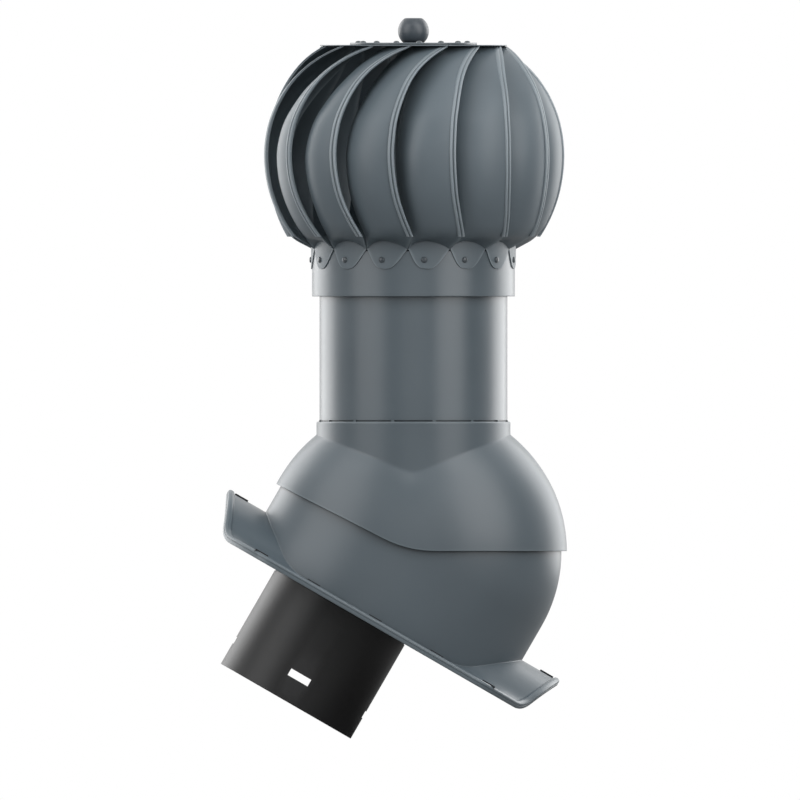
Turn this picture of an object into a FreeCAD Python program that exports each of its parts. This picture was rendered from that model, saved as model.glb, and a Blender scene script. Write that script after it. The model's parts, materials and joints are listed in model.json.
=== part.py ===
import FreeCAD, Part
import Sketcher
import math
import os
import re

# A roof turbine ventilator on a pitch-adjustable hood, in millimetres.
#
# The part's own frame has Z straight up and X pointing down the roof slope.
# Its origin is the centre of the duct spigot's open mouth, on the spigot axis.
# Three local frames are used. The roof frame is the part frame turned about Y
# by the roof pitch, so its Z is the roof normal. The hood frame has the part
# frame's directions and starts at the hood centre, where the hood pivots.
# The rotor turns about the hood frame's Z axis.

doc = FreeCAD.newDocument("roof_turbine_ventilator")
sheet = doc.addObject("Spreadsheet::Sheet", "Sizes")

SIZES = (
    # roof and hood position
    ("roof_pitch", 30),
    ("hood_offset", 36.1),
    ("hood_height", 193),
    # duct spigot
    ("duct_radius", 75),
    ("spigot_wall", 3),
    ("spigot_chamfer", 1.2),
    ("slot_width", 24),
    ("slot_height", 7.5),
    ("slot_level", 27.5),
    ("seat_length", 108),
    ("stop_groove_width", 4),
    ("stop_groove_depth", 0.8),
    ("bend_tangent", 40),
    # hood cap and its neck
    ("cap_radius", 153.5),
    ("cap_half_width", 116),
    ("cap_wall", 1.8),
    ("cap_edge_drop", 3.1),
    ("cap_edge_corner", 5.3),
    ("cap_edge_level", 1),
    ("cap_edge_radius", 113),
    ("neck_radius", 97),
    ("neck_wall", 3),
    ("neck_rise", 11.53),
    ("neck_chamfer", 2.5),
    ("upstand_wall", 1.8),
    ("upstand_rise", 12),
    ("rib_rise", 1.2),
    ("rib_width", 3),
    ("neck_ribs", 14),
    # lower dome
    ("dome_gap", 3.7),
    ("dome_wall", 2.5),
    ("opening_tilt", 13.5),
    ("opening_level", 66.5),
    ("hood_seal_width", 8),
    ("seal_gap", 0.35),
    # arched base plate
    ("plate_wall", 2.5),
    ("crest_level", 39.3),
    ("crest_radius", 108),
    ("foot_radius", 39.8),
    ("flat_level", 79),
    ("plate_half_width", 152),
    ("plate_half_length", 191),
    ("end_bow_radius", 212),
    ("corner_radius", 24),
    ("rim_width", 7.5),
    ("rim_rise", 2.2),
    ("rim_drop", 5.2),
    ("rim_skirt", 2.5),
    ("skirt_level", 82),
    ("lip_level", 72),
    ("lip_width", 10),
    ("lip_wall", 2.5),
    ("foam_width", 14),
    ("foam_inset", 5),
    ("foam_rise", 2.7),
    # screw pads on the plate
    ("pad_width", 9),
    ("pad_rise", 1.5),
    ("crest_pad_length", 16.5),
    ("crest_pad_station", 177),
    ("side_pad_length", 14.5),
    ("side_pad_rise", 3.4),
    ("side_pad_station", 131),
    ("side_pad_pitch", 60),
    ("side_pad_inset", 16),
    ("screw_hole_radius", 2.75),
    # spigot carrier
    ("carrier_wall", 3),
    ("carrier_gap", 0.3),
    ("collar_rise", 24),
    ("collar_wall", 3),
    ("carrier_screws", 6),
    ("carrier_screw_head", 4),
    # pivot of the hood
    ("arm_radius", 90),
    ("arm_wall", 3),
    ("arm_width", 22),
    ("eye_radius", 12),
    ("pivot_radius", 5),
    ("pivot_head_radius", 8.5),
    ("pivot_head_rise", 3.5),
    ("pivot_gap", 0.5),
    ("boss_radius", 11),
    ("yoke_wall", 3),
    ("yoke_radius", 93.4),
    ("running_gap", 0.05),
    ("yoke_screws", 6),
    # stack of pipes
    ("pipe_radius", 94),
    ("pipe_wall", 1),
    ("pipe_top", 277),
    ("duct_wall", 1),
    ("insulation_gap", 0.3),
    ("cover_wall", 1.2),
    ("cover_lip", 8),
    # cross bracket and spindle
    ("bracket_level", 262),
    ("bracket_wall", 3),
    ("bracket_arm", 20),
    ("bracket_hub", 20),
    ("bracket_tab", 14),
    ("spindle_radius", 6),
    ("spindle_shoulder", 8.2),
    ("spindle_foot", 247),
    ("nut_rise", 8),
    ("nut_radius", 10.5),
    # bearings
    ("bearing_radius", 14),
    ("bearing_width", 8),
    ("race_wall", 2.4),
    ("lower_bearing_level", 388),
    ("upper_bearing_level", 474),
    ("spacer_wall", 1.8),
    ("hub_wall", 3.5),
    ("hub_lip", 1.2),
    ("snap_wall", 1.3),
    # rotor
    ("vane_count", 15),
    ("rotor_radius", 151),
    ("rotor_crown", 139),
    ("equator_level", 397),
    ("vane_foot_level", 315),
    ("vane_top_level", 506.2),
    ("vane_wall", 1),
    ("vane_depth", 22),
    ("vane_phase", -7.5),
    ("vane_overlap", 0.5),
    ("hem_width", 6.3),
    ("hem_wall", 2.6),
    ("flange_inner_radius", 46),
    ("rotor_collar_radius", 101.5),
    ("rotor_collar_wall", 1),
    ("rotor_collar_foot", 255.7),
    ("rotor_collar_top", 303),
    ("rotor_collar_hem", 6),
    ("tab_foot", 283.3),
    ("tab_wall", 1.2),
    ("tab_gap", 0.1),
    ("tab_rivet_level", 292.3),
    ("disc_radius", 63.5),
    ("disc_wall", 2.3),
    ("disc_rivet_ring", 55),
    ("rivet_head_radius", 3.1),
    ("rivet_head_rise", 1.6),
    ("hub_flange_radius", 61),
    ("hub_flange_wall", 2),
    ("knob_radius", 15.5),
    ("knob_level", 521),
    ("knob_top", 534.1),
    ("stud_radius", 4),
    ("stud_depth", 12),
    ("stud_nut_radius", 7.5),
    ("stud_nut_rise", 6),
)

for row, (alias, value) in enumerate(SIZES, 1):
    sheet.set("A%d" % row, alias)
    sheet.set("B%d" % row, str(value))
    sheet.setAlias("B%d" % row, alias)
doc.recompute()

size = {}
for alias, value in SIZES:
    size[alias] = float(getattr(sheet, alias))

WORD = re.compile(r"[a-z][a-z0-9_]*")


def bound(text):
    """The expression for a text of size names and arithmetic."""
    return WORD.sub(lambda m: "Sizes." + m.group(0) if m.group(0) in size else m.group(0), text)


PITCH = math.radians(size["roof_pitch"])
HOOD_X = "hood_offset * cos(roof_pitch) + hood_height * sin(roof_pitch)"
HOOD_Z = "hood_height * cos(roof_pitch) - hood_offset * sin(roof_pitch)"
hood_x = size["hood_offset"] * math.cos(PITCH) + size["hood_height"] * math.sin(PITCH)
hood_z = size["hood_height"] * math.cos(PITCH) - size["hood_offset"] * math.sin(PITCH)
NECK_TOP = "(sqrt(cap_radius ^ 2 - neck_radius ^ 2) + neck_rise)"
neck_top = math.sqrt(size["cap_radius"] ** 2 - size["neck_radius"] ** 2) + size["neck_rise"]
CENTRE = FreeCAD.Vector(0, 0, 0)
X_AXIS = FreeCAD.Vector(1, 0, 0)
Y_AXIS = FreeCAD.Vector(0, 1, 0)
Z_AXIS = FreeCAD.Vector(0, 0, 1)
nodes = []


def place(node, frame, turn=0):
    """Put a sub-part in the roof frame, or in the hood frame turned about its Z axis."""
    if frame == "roof":
        node.Placement = FreeCAD.Placement(CENTRE, FreeCAD.Rotation(Y_AXIS, size["roof_pitch"]))
        node.setExpression("Placement.Rotation.Angle", bound("roof_pitch"))
    else:
        node.Placement = FreeCAD.Placement(FreeCAD.Vector(hood_x, 0, hood_z),
                                           FreeCAD.Rotation(Z_AXIS, turn))
        node.setExpression("Placement.Base.x", bound(HOOD_X))
        node.setExpression("Placement.Base.z", bound(HOOD_Z))
    nodes.append(node)
    return node


def body(label, frame):
    return place(doc.addObject("PartDesign::Body", label), frame)


def shaped(label, shape, frame, turn=0):
    """A sub-part whose shape is made below from the sheet's sizes."""
    node = doc.addObject("Part::Feature", label)
    node.Shape = shape
    return place(node, frame, turn)


def origin_part(owner, role):
    for feature in owner.Origin.OriginFeatures:
        if feature.Role == role:
            return feature
    raise ValueError(role)


def sketch_on(owner, plane, name, level=None):
    """A sketch on one of the body's own planes, raised by a size if one is given."""
    sketch = owner.newObject("Sketcher::SketchObject", name)
    sketch.AttachmentSupport = [(origin_part(owner, plane), "")]
    sketch.MapMode = "FlatFace"
    if level:
        sketch.setExpression("AttachmentOffset.Base.z", bound(level))
    return sketch


def pin_point(sketch, item, end, across, up, near_x=10, near_y=10):
    """Fix one end of a sketch item at two bound distances from the sketch's origin."""
    for kind, text, near in (("DistanceX", across, near_x), ("DistanceY", up, near_y)):
        sketch.addConstraint(Sketcher.Constraint(kind, -1, 1, item, end, near))
        index = sketch.ConstraintCount - 1
        sketch.setExpression("Constraints[%d]" % index, bound(text))


def polygon(sketch, corners):
    """A closed outline with every corner at its bound place."""
    count = len(corners)
    start = sketch.GeometryCount
    spots = []
    for k in range(count):
        turn = 2 * math.pi * k / count
        spots.append(FreeCAD.Vector(100 + 50 * math.cos(turn), 100 + 50 * math.sin(turn), 0))
    for k in range(count):
        sketch.addGeometry(Part.LineSegment(spots[k], spots[(k + 1) % count]), False)
    for k in range(count):
        joined = (start + k, 2, start + (k + 1) % count, 1)
        sketch.addConstraint(Sketcher.Constraint("Coincident", *joined))
    for k, (across, up) in enumerate(corners):
        pin_point(sketch, start + k, 1, across, up)


def circle(sketch, across, up, radius):
    item = sketch.addGeometry(Part.Circle(FreeCAD.Vector(5, 5, 0), Z_AXIS, 3), False)
    pin_point(sketch, item, 3, across, up)
    sketch.addConstraint(Sketcher.Constraint("Radius", item, 3))
    sketch.setExpression("Constraints[%d]" % (sketch.ConstraintCount - 1), bound(radius))


def turned(owner, corners, kind="Revolution", name="Turned"):
    """A profile of radius and height, turned about the body's Z axis."""
    sketch = sketch_on(owner, "XZ_Plane", name + "Profile")
    polygon(sketch, corners)
    feature = owner.newObject("PartDesign::" + kind, name)
    feature.Profile = sketch
    feature.ReferenceAxis = (sketch, ["V_Axis"])
    feature.Angle = 360
    return feature


def padded(owner, sketch, length, kind="Pad", name="Padded", both=False, back=False):
    feature = owner.newObject("PartDesign::" + kind, name)
    feature.Profile = sketch
    feature.Length = 10
    feature.setExpression("Length", bound(length))
    if both:
        feature.SideType = "Symmetric"
    feature.Reversed = back
    return feature


def ringed(owner, originals, count, name="Ring"):
    """Repeat features evenly round the body's Z axis."""
    pattern = owner.newObject("PartDesign::PolarPattern", name)
    pattern.Originals = originals
    pattern.Axis = (origin_part(owner, "Z_Axis"), [""])
    pattern.Angle = 360
    pattern.Occurrences = 2
    pattern.setExpression("Occurrences", bound(count))
    owner.Tip = pattern
    return pattern


# Spigot: the black pipe that the flexible duct below the roof slides onto.
SPIGOT_TOP = "hood_height + hood_offset / tan(roof_pitch) - bend_tangent"
spigot_pipe = body("spigot_pipe", "roof")
turned(spigot_pipe, (
    ("duct_radius - spigot_wall + spigot_chamfer", "0"),
    ("duct_radius", "0"),
    ("duct_radius", SPIGOT_TOP),
    ("duct_radius - spigot_wall", SPIGOT_TOP),
    ("duct_radius - spigot_wall", "spigot_chamfer"),
))
turned(spigot_pipe, (
    ("duct_radius - stop_groove_depth", "seat_length"),
    ("duct_radius + 5", "seat_length"),
    ("duct_radius + 5", "seat_length + stop_groove_width"),
    ("duct_radius - stop_groove_depth", "seat_length + stop_groove_width"),
), "Groove", "StopGroove")
slot = sketch_on(spigot_pipe, "XZ_Plane", "SlotProfile")
polygon(slot, (
    ("-slot_width / 2", "slot_level - slot_height / 2"),
    ("slot_width / 2", "slot_level - slot_height / 2"),
    ("slot_width / 2", "slot_level + slot_height / 2"),
    ("-slot_width / 2", "slot_level + slot_height / 2"),
))
slot_y = padded(spigot_pipe, slot, "2 * duct_radius + 10", "Pocket", "SlotsAcross", both=True)
slot = sketch_on(spigot_pipe, "YZ_Plane", "SideSlotProfile")
polygon(slot, (
    ("-slot_width / 2", "slot_level - slot_height / 2"),
    ("slot_width / 2", "slot_level - slot_height / 2"),
    ("slot_width / 2", "slot_level + slot_height / 2"),
    ("-slot_width / 2", "slot_level + slot_height / 2"),
))
slot_x = padded(spigot_pipe, slot, "2 * duct_radius + 10", "Pocket", "SlotsAlong", both=True)


# Hood cap: half of a squeezed ball with a round neck.
UPSTAND = "pipe_radius - pipe_wall - tab_gap"
PIPE_FOOT = NECK_TOP + " + rib_rise"


def lathe(profile):
    """A solid turned about Z from its radius and height corners."""
    points = [FreeCAD.Vector(r, 0, z) for r, z in profile]
    return Part.Face(Part.makePolygon(points + points[:1])).revolve(CENTRE, Z_AXIS, 360)


def around(shape, count, phase=0):
    """Copies of a shape, evenly spaced round Z."""
    copies = []
    for k in range(int(count)):
        copy = shape.copy()
        copy.rotate(CENTRE, Z_AXIS, phase + 360.0 * k / int(count))
        copies.append(copy)
    return copies


def oval(level, long, short):
    """An oval outline, level and centred on Z."""
    return Part.Wire([Part.Ellipse(FreeCAD.Vector(0, 0, level), long, short).toShape()])


def squeezed_ball(long, short, low, high, bands=9):
    """A ball narrowed along Y, between two levels, as bands through its level ovals."""
    start = math.asin(low / long)
    end = math.asin(high / long)
    outlines = []
    for k in range(bands + 1):
        lean = start + (end - start) * k / bands
        outlines.append(oval(long * math.sin(lean), long * math.cos(lean),
                             short * math.cos(lean)))
    return Part.makeLoft(outlines, True, True)


cap_long = size["cap_radius"]
cap_short = size["cap_half_width"]
cap_wall = size["cap_wall"]
neck = size["neck_radius"]
neck_bore = neck - size["neck_wall"]
upstand = size["pipe_radius"] - size["pipe_wall"] - size["tab_gap"]
upstand_bore = upstand - size["upstand_wall"]
chamfer = size["neck_chamfer"]
lid = neck_top - size["neck_wall"] - 0.5
cap = squeezed_ball(cap_long, cap_short, 0, lid, 12)
cap = cap.fuse(lathe(((upstand_bore, cap_long / 3), (neck, cap_long / 3),
                      (neck, neck_top - chamfer), (neck - chamfer, neck_top),
                      (upstand, neck_top), (upstand, neck_top + size["upstand_rise"]),
                      (upstand_bore, neck_top + size["upstand_rise"]))))
cap = cap.cut(squeezed_ball(cap_long - cap_wall, cap_short - cap_wall, 0, lid, 12))
cap = cap.cut(Part.makeCylinder(neck_bore, neck_top - size["neck_wall"]))
cap = cap.cut(Part.makeCylinder(upstand_bore, 2 * cap_long))

# The cap's lower edge: level on the downslope side, nearly along the roof on the other.
far = cap_long + 30
edge_level = size["cap_edge_level"]
slant = math.radians(size["roof_pitch"] - size["cap_edge_drop"])
bend = size["cap_edge_radius"]
bend_x = bend * math.tan(slant / 2) - size["cap_edge_corner"]
bend_points = []
for lean in (slant, slant / 2, 0):
    bend_points.append(FreeCAD.Vector(bend_x - bend * math.sin(lean), -far,
                                      edge_level + bend * (1 - math.cos(lean))))
high = FreeCAD.Vector(-far, -far, edge_level + (far - size["cap_edge_corner"]) * math.tan(slant))
low = [FreeCAD.Vector(far, -far, edge_level), FreeCAD.Vector(far, -far, -far),
       FreeCAD.Vector(-far, -far, -far)]
edge_items = [Part.LineSegment(high, bend_points[0]).toShape(),
              Part.Arc(*bend_points).toShape(),
              Part.makePolygon([bend_points[2]] + low + [high])]
edge_lines = []
for item in edge_items:
    edge_lines.extend(item.Edges)
below_edge = Part.Face(Part.Wire(edge_lines)).extrude(FreeCAD.Vector(0, 2 * far, 0))
cap = cap.cut(below_edge)

# Small ribs on the neck carry the outer pipe and leave a drip gap under it.
rib = Part.makeBox(neck - chamfer - upstand_bore - 0.5, size["rib_width"], 2 * size["rib_rise"],
                   FreeCAD.Vector(upstand_bore + 0.5, -size["rib_width"] / 2,
                                  neck_top - size["rib_rise"]))
cap = cap.multiFuse(around(rib, size["neck_ribs"]))
shaped("hood_cap", cap, "hood")

# Outer pipe: a sheet tube standing on the neck's ribs.
outer_pipe = body("outer_pipe", "hood")
turned(outer_pipe, (
    ("pipe_radius - pipe_wall", PIPE_FOOT),
    ("pipe_radius", PIPE_FOOT),
    ("pipe_radius", "pipe_top"),
    ("pipe_radius - pipe_wall", "pipe_top"),
))

# Inner pipe: the air duct, joined below to the flexible bend.
INNER_FOOT = "hood_offset / sin(roof_pitch) + bend_tangent"
inner_pipe = body("inner_pipe", "hood")
turned(inner_pipe, (
    ("duct_radius - duct_wall", INNER_FOOT),
    ("duct_radius", INNER_FOOT),
    ("duct_radius", "pipe_top"),
    ("duct_radius - duct_wall", "pipe_top"),
))
doc.recompute()

# Insulation fills the space between the pipes.
pipe_insulation = body("pipe_insulation", "hood")
INSULATION_FOOT = NECK_TOP + " + upstand_rise + insulation_gap"
turned(pipe_insulation, (
    ("duct_radius + insulation_gap", INSULATION_FOOT),
    ("pipe_radius - pipe_wall - insulation_gap", INSULATION_FOOT),
    ("pipe_radius - pipe_wall - insulation_gap", "pipe_top - insulation_gap"),
    ("duct_radius + insulation_gap", "pipe_top - insulation_gap"),
))

# Cover ring: closes the top of the insulation over both pipes' edges.
cover_ring = body("cover_ring", "hood")
turned(cover_ring, (
    ("duct_radius - duct_wall - cover_wall - tab_gap", "pipe_top - cover_lip"),
    ("duct_radius - duct_wall - tab_gap", "pipe_top - cover_lip"),
    ("duct_radius - duct_wall - tab_gap", "pipe_top"),
    ("pipe_radius + tab_gap", "pipe_top"),
    ("pipe_radius + tab_gap", "pipe_top - cover_lip"),
    ("pipe_radius + tab_gap + cover_wall", "pipe_top - cover_lip"),
    ("pipe_radius + tab_gap + cover_wall", "pipe_top + cover_wall"),
    ("duct_radius - duct_wall - cover_wall - tab_gap", "pipe_top + cover_wall"),
))

# Cross bracket: four flat arms with upturned ends riveted inside the duct.
BORE = "duct_radius - duct_wall - tab_gap"
cross_bracket = body("cross_bracket", "hood")
arms = sketch_on(cross_bracket, "XY_Plane", "ArmsProfile", "bracket_level")
REACH = "(duct_radius - duct_wall - tab_gap - 1)"
HALF = "bracket_arm / 2"
polygon(arms, (
    (REACH, "-" + HALF), (REACH, HALF), (HALF, HALF), (HALF, REACH),
    ("-" + HALF, REACH), ("-" + HALF, HALF), ("-" + REACH, HALF), ("-" + REACH, "-" + HALF),
    ("-" + HALF, "-" + HALF), ("-" + HALF, "-" + REACH), (HALF, "-" + REACH),
    (HALF, "-" + HALF),
))
padded(cross_bracket, arms, "bracket_wall", "Pad", "Arms")
tab = sketch_on(cross_bracket, "XZ_Plane", "TabProfile")
polygon(tab, (
    ("duct_radius - duct_wall - tab_gap - bracket_wall", "bracket_level"),
    (REACH, "bracket_level"),
    (REACH, "bracket_level - bracket_tab"),
    ("duct_radius - duct_wall - tab_gap - bracket_wall", "bracket_level - bracket_tab"),
))
tab_pad = padded(cross_bracket, tab, "bracket_arm", "Pad", "Tab", both=True)
doc.recompute()
ringed(cross_bracket, [tab_pad], "4", "Tabs")
hole = sketch_on(cross_bracket, "XY_Plane", "SpindleHoleProfile", "bracket_level - 1")
circle(hole, "0", "0", "spindle_radius + running_gap")
padded(cross_bracket, hole, "bracket_wall + 2", "Pocket", "SpindleHole", back=True)


def stud_head(radius, rise, sides=10):
    """A fastener's head standing on the plane at zero, along +Z."""
    corners = []
    for k in range(sides + 1):
        turn = 2 * math.pi * k / sides
        corners.append(FreeCAD.Vector(radius * math.cos(turn), radius * math.sin(turn), 0))
    return Part.Face(Part.makePolygon(corners)).extrude(FreeCAD.Vector(0, 0, rise))


def hex_nut(radius, bore, rise, level):
    corners = []
    for k in range(7):
        turn = math.radians(60 * k)
        corners.append(FreeCAD.Vector(radius * math.cos(turn), radius * math.sin(turn), level))
    nut = Part.Face(Part.makePolygon(corners)).extrude(FreeCAD.Vector(0, 0, rise))
    return nut.cut(Part.makeCylinder(bore, rise, FreeCAD.Vector(0, 0, level)))


duct_bore = size["duct_radius"] - size["duct_wall"] - size["tab_gap"]
bracket_rivet = stud_head(size["rivet_head_radius"], size["rivet_head_rise"])
bracket_rivet.rotate(CENTRE, Y_AXIS, -90)
bracket_rivet.translate(FreeCAD.Vector(duct_bore - size["bracket_wall"], 0,
                                       size["bracket_level"] - size["bracket_tab"] / 2))
shaped("bracket_rivets", Part.makeCompound(around(bracket_rivet, 4)), "hood")

# Spindle: fixed upright in the bracket, it carries both bearings.
LOW = "lower_bearing_level"
HIGH = "upper_bearing_level + bearing_width"
spindle = body("spindle", "hood")
turned(spindle, (
    ("0", "spindle_foot"),
    ("spindle_radius - 1", "spindle_foot"),
    ("spindle_radius", "spindle_foot + 1"),
    ("spindle_radius", LOW + " - bearing_width"),
    ("spindle_shoulder", LOW + " - bearing_width"),
    ("spindle_shoulder", LOW),
    ("spindle_radius", LOW),
    ("spindle_radius", HIGH + " + nut_rise"),
    ("spindle_radius - 1", HIGH + " + nut_rise + 1"),
    ("0", HIGH + " + nut_rise + 1"),
))
spacer = body("spindle_spacer", "hood")
turned(spacer, (
    ("spindle_radius + running_gap", LOW + " + bearing_width"),
    ("spindle_radius + spacer_wall", LOW + " + bearing_width"),
    ("spindle_radius + spacer_wall", "upper_bearing_level"),
    ("spindle_radius + running_gap", "upper_bearing_level"),
))
nut_bore = size["spindle_radius"] + size["running_gap"]
bracket_top = size["bracket_level"] + size["bracket_wall"]
nuts = []
for start in (size["bracket_level"] - size["nut_rise"], bracket_top,
              size["upper_bearing_level"] + size["bearing_width"]):
    nuts.append(hex_nut(size["nut_radius"], nut_bore, size["nut_rise"], start))
shaped("spindle_nuts", Part.makeCompound(nuts), "hood")

# Bearings: fixed inner rings, and sealed outer rings that turn with the hub.
BEARINGS = (("lower", "lower_bearing_level"), ("upper", "upper_bearing_level"))
for name, place_name in BEARINGS:
    ring_top = place_name + " + bearing_width"
    inner_ring = body(name + "_inner_ring", "hood")
    turned(inner_ring, (
        ("spindle_radius + running_gap", place_name),
        ("spindle_radius + race_wall", place_name),
        ("spindle_radius + race_wall", ring_top),
        ("spindle_radius + running_gap", ring_top),
    ))
    outer_ring = body(name + "_outer_ring", "hood")
    turned(outer_ring, (
        ("spindle_radius + race_wall + running_gap", place_name),
        ("bearing_radius", place_name),
        ("bearing_radius", ring_top),
        ("spindle_radius + race_wall + running_gap", ring_top),
    ))

# Hub: the rotor's bearing housing, hung from a wide flange under the vanes.
HUB = "bearing_radius + hub_wall"
FLANGE = "vane_top_level - hub_flange_wall"
hub_tube = body("hub_tube", "hood")
turned(hub_tube, (
    ("bearing_radius + running_gap", LOW + " - 2 * snap_wall"),
    (HUB, LOW + " - 2 * snap_wall"),
    (HUB, FLANGE + " - 4"),
    (HUB + " + 4", FLANGE),
    ("hub_flange_radius", FLANGE),
    ("hub_flange_radius", "vane_top_level"),
    ("bearing_radius + running_gap", "vane_top_level"),
    ("bearing_radius + running_gap", "upper_bearing_level"),
    ("bearing_radius - hub_lip", "upper_bearing_level"),
    ("bearing_radius - hub_lip", LOW + " + bearing_width"),
    ("bearing_radius + running_gap", LOW + " + bearing_width"),
))
seat = size["bearing_radius"] + size["running_gap"]
snaps = []
for start in (size["lower_bearing_level"] - size["snap_wall"],
              size["upper_bearing_level"] + size["bearing_width"]):
    snaps.append(lathe(((seat - 1.6, start), (seat, start), (seat, start + size["snap_wall"]),
                        (seat - 1.6, start + size["snap_wall"]))))
shaped("snap_rings", Part.makeCompound(snaps), "hood")

# Vanes. Each is one pressed sheet: a bellied blade with a folded hem, a flat
# flange under the top disc and a riveted tab on the collar. Its cross-section
# at each level runs from a recessed inner edge out to the hem.
step = 360.0 / size["vane_count"]
span = size["vane_top_level"] - size["equator_level"]
drop = size["equator_level"] - size["vane_foot_level"]
# share of the height from the equator, sweep of the hem in degrees, depth share
STATIONS = (
    (-1.00, 7.5, 0.50), (-0.55, 2.0, 0.82), (-0.10, 0.1, 0.98), (0.25, 0.7, 1.07),
    (0.50, 3.2, 1.09), (0.70, 6.9, 0.99), (0.85, 12.4, 0.74), (0.94, 19.0, 0.50),
    (1.00, 25.5, 0.32),
)


def outside(level):
    """The rotor's outer radius at a level."""
    rise = level - size["equator_level"]
    flat = size["rotor_crown"] if rise > 0 else size["rotor_radius"]
    return size["rotor_radius"] * math.sqrt(1 - (rise / flat) ** 2)


def at(radius, turn, level):
    """A point from its radius, its azimuth from the front towards +X and its level."""
    angle = math.radians(turn - 90)
    return FreeCAD.Vector(radius * math.cos(angle), radius * math.sin(angle), level)


def strip(level, ends, wall):
    """A thin closed section: radius and azimuth pairs outside, and the same moved inwards."""
    outer = [at(r, a, level) for r, a in ends]
    inner = [at(r - wall, a, level) for r, a in reversed(ends)]
    return Part.makePolygon(outer + inner + outer[:1])


blade_wires = []
hem_wires = []
for share, sweep, deep in STATIONS:
    level = size["equator_level"] + share * (span if share > 0 else drop)
    big = outside(level) - 0.4
    small = big - deep * size["vane_depth"]
    tip = sweep
    root = sweep - step - size["vane_overlap"]
    rise = level - size["equator_level"]
    flat = size["rotor_crown"] if rise > 0 else size["rotor_radius"]
    lean = abs(rise) / flat / math.sqrt(1 - (rise / flat) ** 2)
    wall = size["vane_wall"] * math.sqrt(1 + lean ** 2)
    belly = small + 0.62 * (big - small)
    blade_wires.append(strip(level, ((small, root), (belly, (root + tip) / 2), (big, tip)), wall))
    wide = math.degrees(size["hem_width"] / outside(level))
    thick = size["hem_wall"] * math.sqrt(1 + lean ** 2)
    edge_out = outside(level)
    lower_out = edge_out - 0.1 - 0.7 * (big - belly) * wide / (step / 2)
    hem_wires.append(strip(level, ((lower_out, tip - wide), (edge_out, tip)), thick))
blade = Part.makeLoft(blade_wires, True, True)
hem = Part.makeLoft(hem_wires, True, True)

# underside: from the blade's foot in to the collar, then the tab down it
foot = size["vane_foot_level"]
foot_big = outside(foot) - 0.4
foot_small = foot_big - STATIONS[0][2] * size["vane_depth"]
foot_tip = STATIONS[0][1]
foot_root = foot_tip - step - size["vane_overlap"]
foot_mid = foot_small + 0.62 * (foot_big - foot_small)
tab_out = size["rotor_collar_radius"] + size["tab_gap"] + size["tab_wall"]
tab_tip = foot_tip - 3.4
tab_root = tab_tip - step + 0.5
thin = 2.2 * size["vane_wall"]
tab_top = size["rotor_collar_top"] - 1
under_out = size["rotor_collar_radius"] + size["tab_gap"] + thin
under = Part.makeLoft([
    strip(tab_top, ((under_out, tab_root), (under_out / math.cos(math.radians(step / 4)),
                                            (tab_tip + tab_root) / 2),
                    (under_out, tab_tip)), thin),
    strip(foot + 0.6, ((foot_small, foot_root), (foot_mid, (foot_root + foot_tip) / 2),
                       (foot_big, foot_tip)), thin + 0.6),
], True, True)

tab_shell = lathe(((tab_out - size["tab_wall"], size["tab_foot"]),
                   (tab_out, size["tab_foot"]),
                   (tab_out, tab_top + 1.2),
                   (tab_out - size["tab_wall"], tab_top + 1.2)))
tab_centre = (tab_tip + tab_root) / 2
rivet_turn = foot_tip - 0.75 * step
flat_half = 6.4
slant = ((-19.5, tab_top + 1.6), (-17.4, size["tab_foot"] + 9.2),
         (-12.6, size["tab_foot"] + 1.6), (-flat_half, size["tab_foot"] - 0.2),
         (flat_half, size["tab_foot"] - 0.2), (12.9, size["tab_foot"] + 3.4),
         (19.9, tab_top + 1.6))
half_out = tab_out / 2
mould = Part.makePolygon([FreeCAD.Vector(x, -half_out, z) for x, z in slant + slant[:1]])
mould = Part.Face(mould).extrude(FreeCAD.Vector(0, -tab_out, 0))
mould.rotate(CENTRE, Z_AXIS, tab_centre)
tab = tab_shell.common(mould)
hole_level = size["tab_rivet_level"]

# flange: the flat top, in under the disc
top = size["vane_top_level"]
top_wall = size["vane_wall"]
top_tip = STATIONS[-1][1]
top_root = top_tip - step + 0.5
rim = outside(top)
sector = lathe(((size["flange_inner_radius"], top), (rim, top),
                (rim - 0.5, top + top_wall), (size["flange_inner_radius"], top + top_wall)))
wedge = Part.makePolygon([at(0, 0, top - 5), at(2 * rim, top_root, top - 5),
                          at(2 * rim, top_tip, top - 5), at(0, 0, top - 5)])
wedge = Part.Face(wedge).extrude(FreeCAD.Vector(0, 0, 10))
flange = sector.common(wedge)
disc_turn = top_tip - step / 2
vane = blade.multiFuse([hem, under, tab, flange])
for k in range(int(size["vane_count"])):
    shaped("vane_%02d" % (k + 1), vane, "hood", size["vane_phase"] + step * k)

# Top disc and collar join the vanes at both ends.
DISC_FOOT = "vane_top_level + vane_wall"
top_disc = body("top_disc", "hood")
turned(top_disc, (
    ("stud_radius + running_gap", DISC_FOOT),
    ("disc_radius", DISC_FOOT),
    ("disc_radius", DISC_FOOT + " + disc_wall / 2"),
    ("disc_radius - disc_wall / 2", DISC_FOOT + " + disc_wall"),
    ("stud_radius + running_gap", DISC_FOOT + " + disc_wall"),
))
rotor_collar = body("rotor_collar", "hood")
turned(rotor_collar, (
    ("rotor_collar_radius - rotor_collar_wall - 0.8", "rotor_collar_foot"),
    ("rotor_collar_radius", "rotor_collar_foot"),
    ("rotor_collar_radius", "rotor_collar_top"),
    ("rotor_collar_radius - rotor_collar_wall", "rotor_collar_top"),
    ("rotor_collar_radius - rotor_collar_wall", "rotor_collar_foot + rotor_collar_hem"),
    ("rotor_collar_radius - rotor_collar_wall - 0.8", "rotor_collar_foot + rotor_collar_hem"),
))
disc_rivet = stud_head(size["rivet_head_radius"], size["rivet_head_rise"])
disc_rivet.translate(at(size["disc_rivet_ring"], size["vane_phase"] + disc_turn,
                        top + size["vane_wall"] + size["disc_wall"]))
shaped("disc_rivets", Part.makeCompound(around(disc_rivet, size["vane_count"])), "hood")

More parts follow.
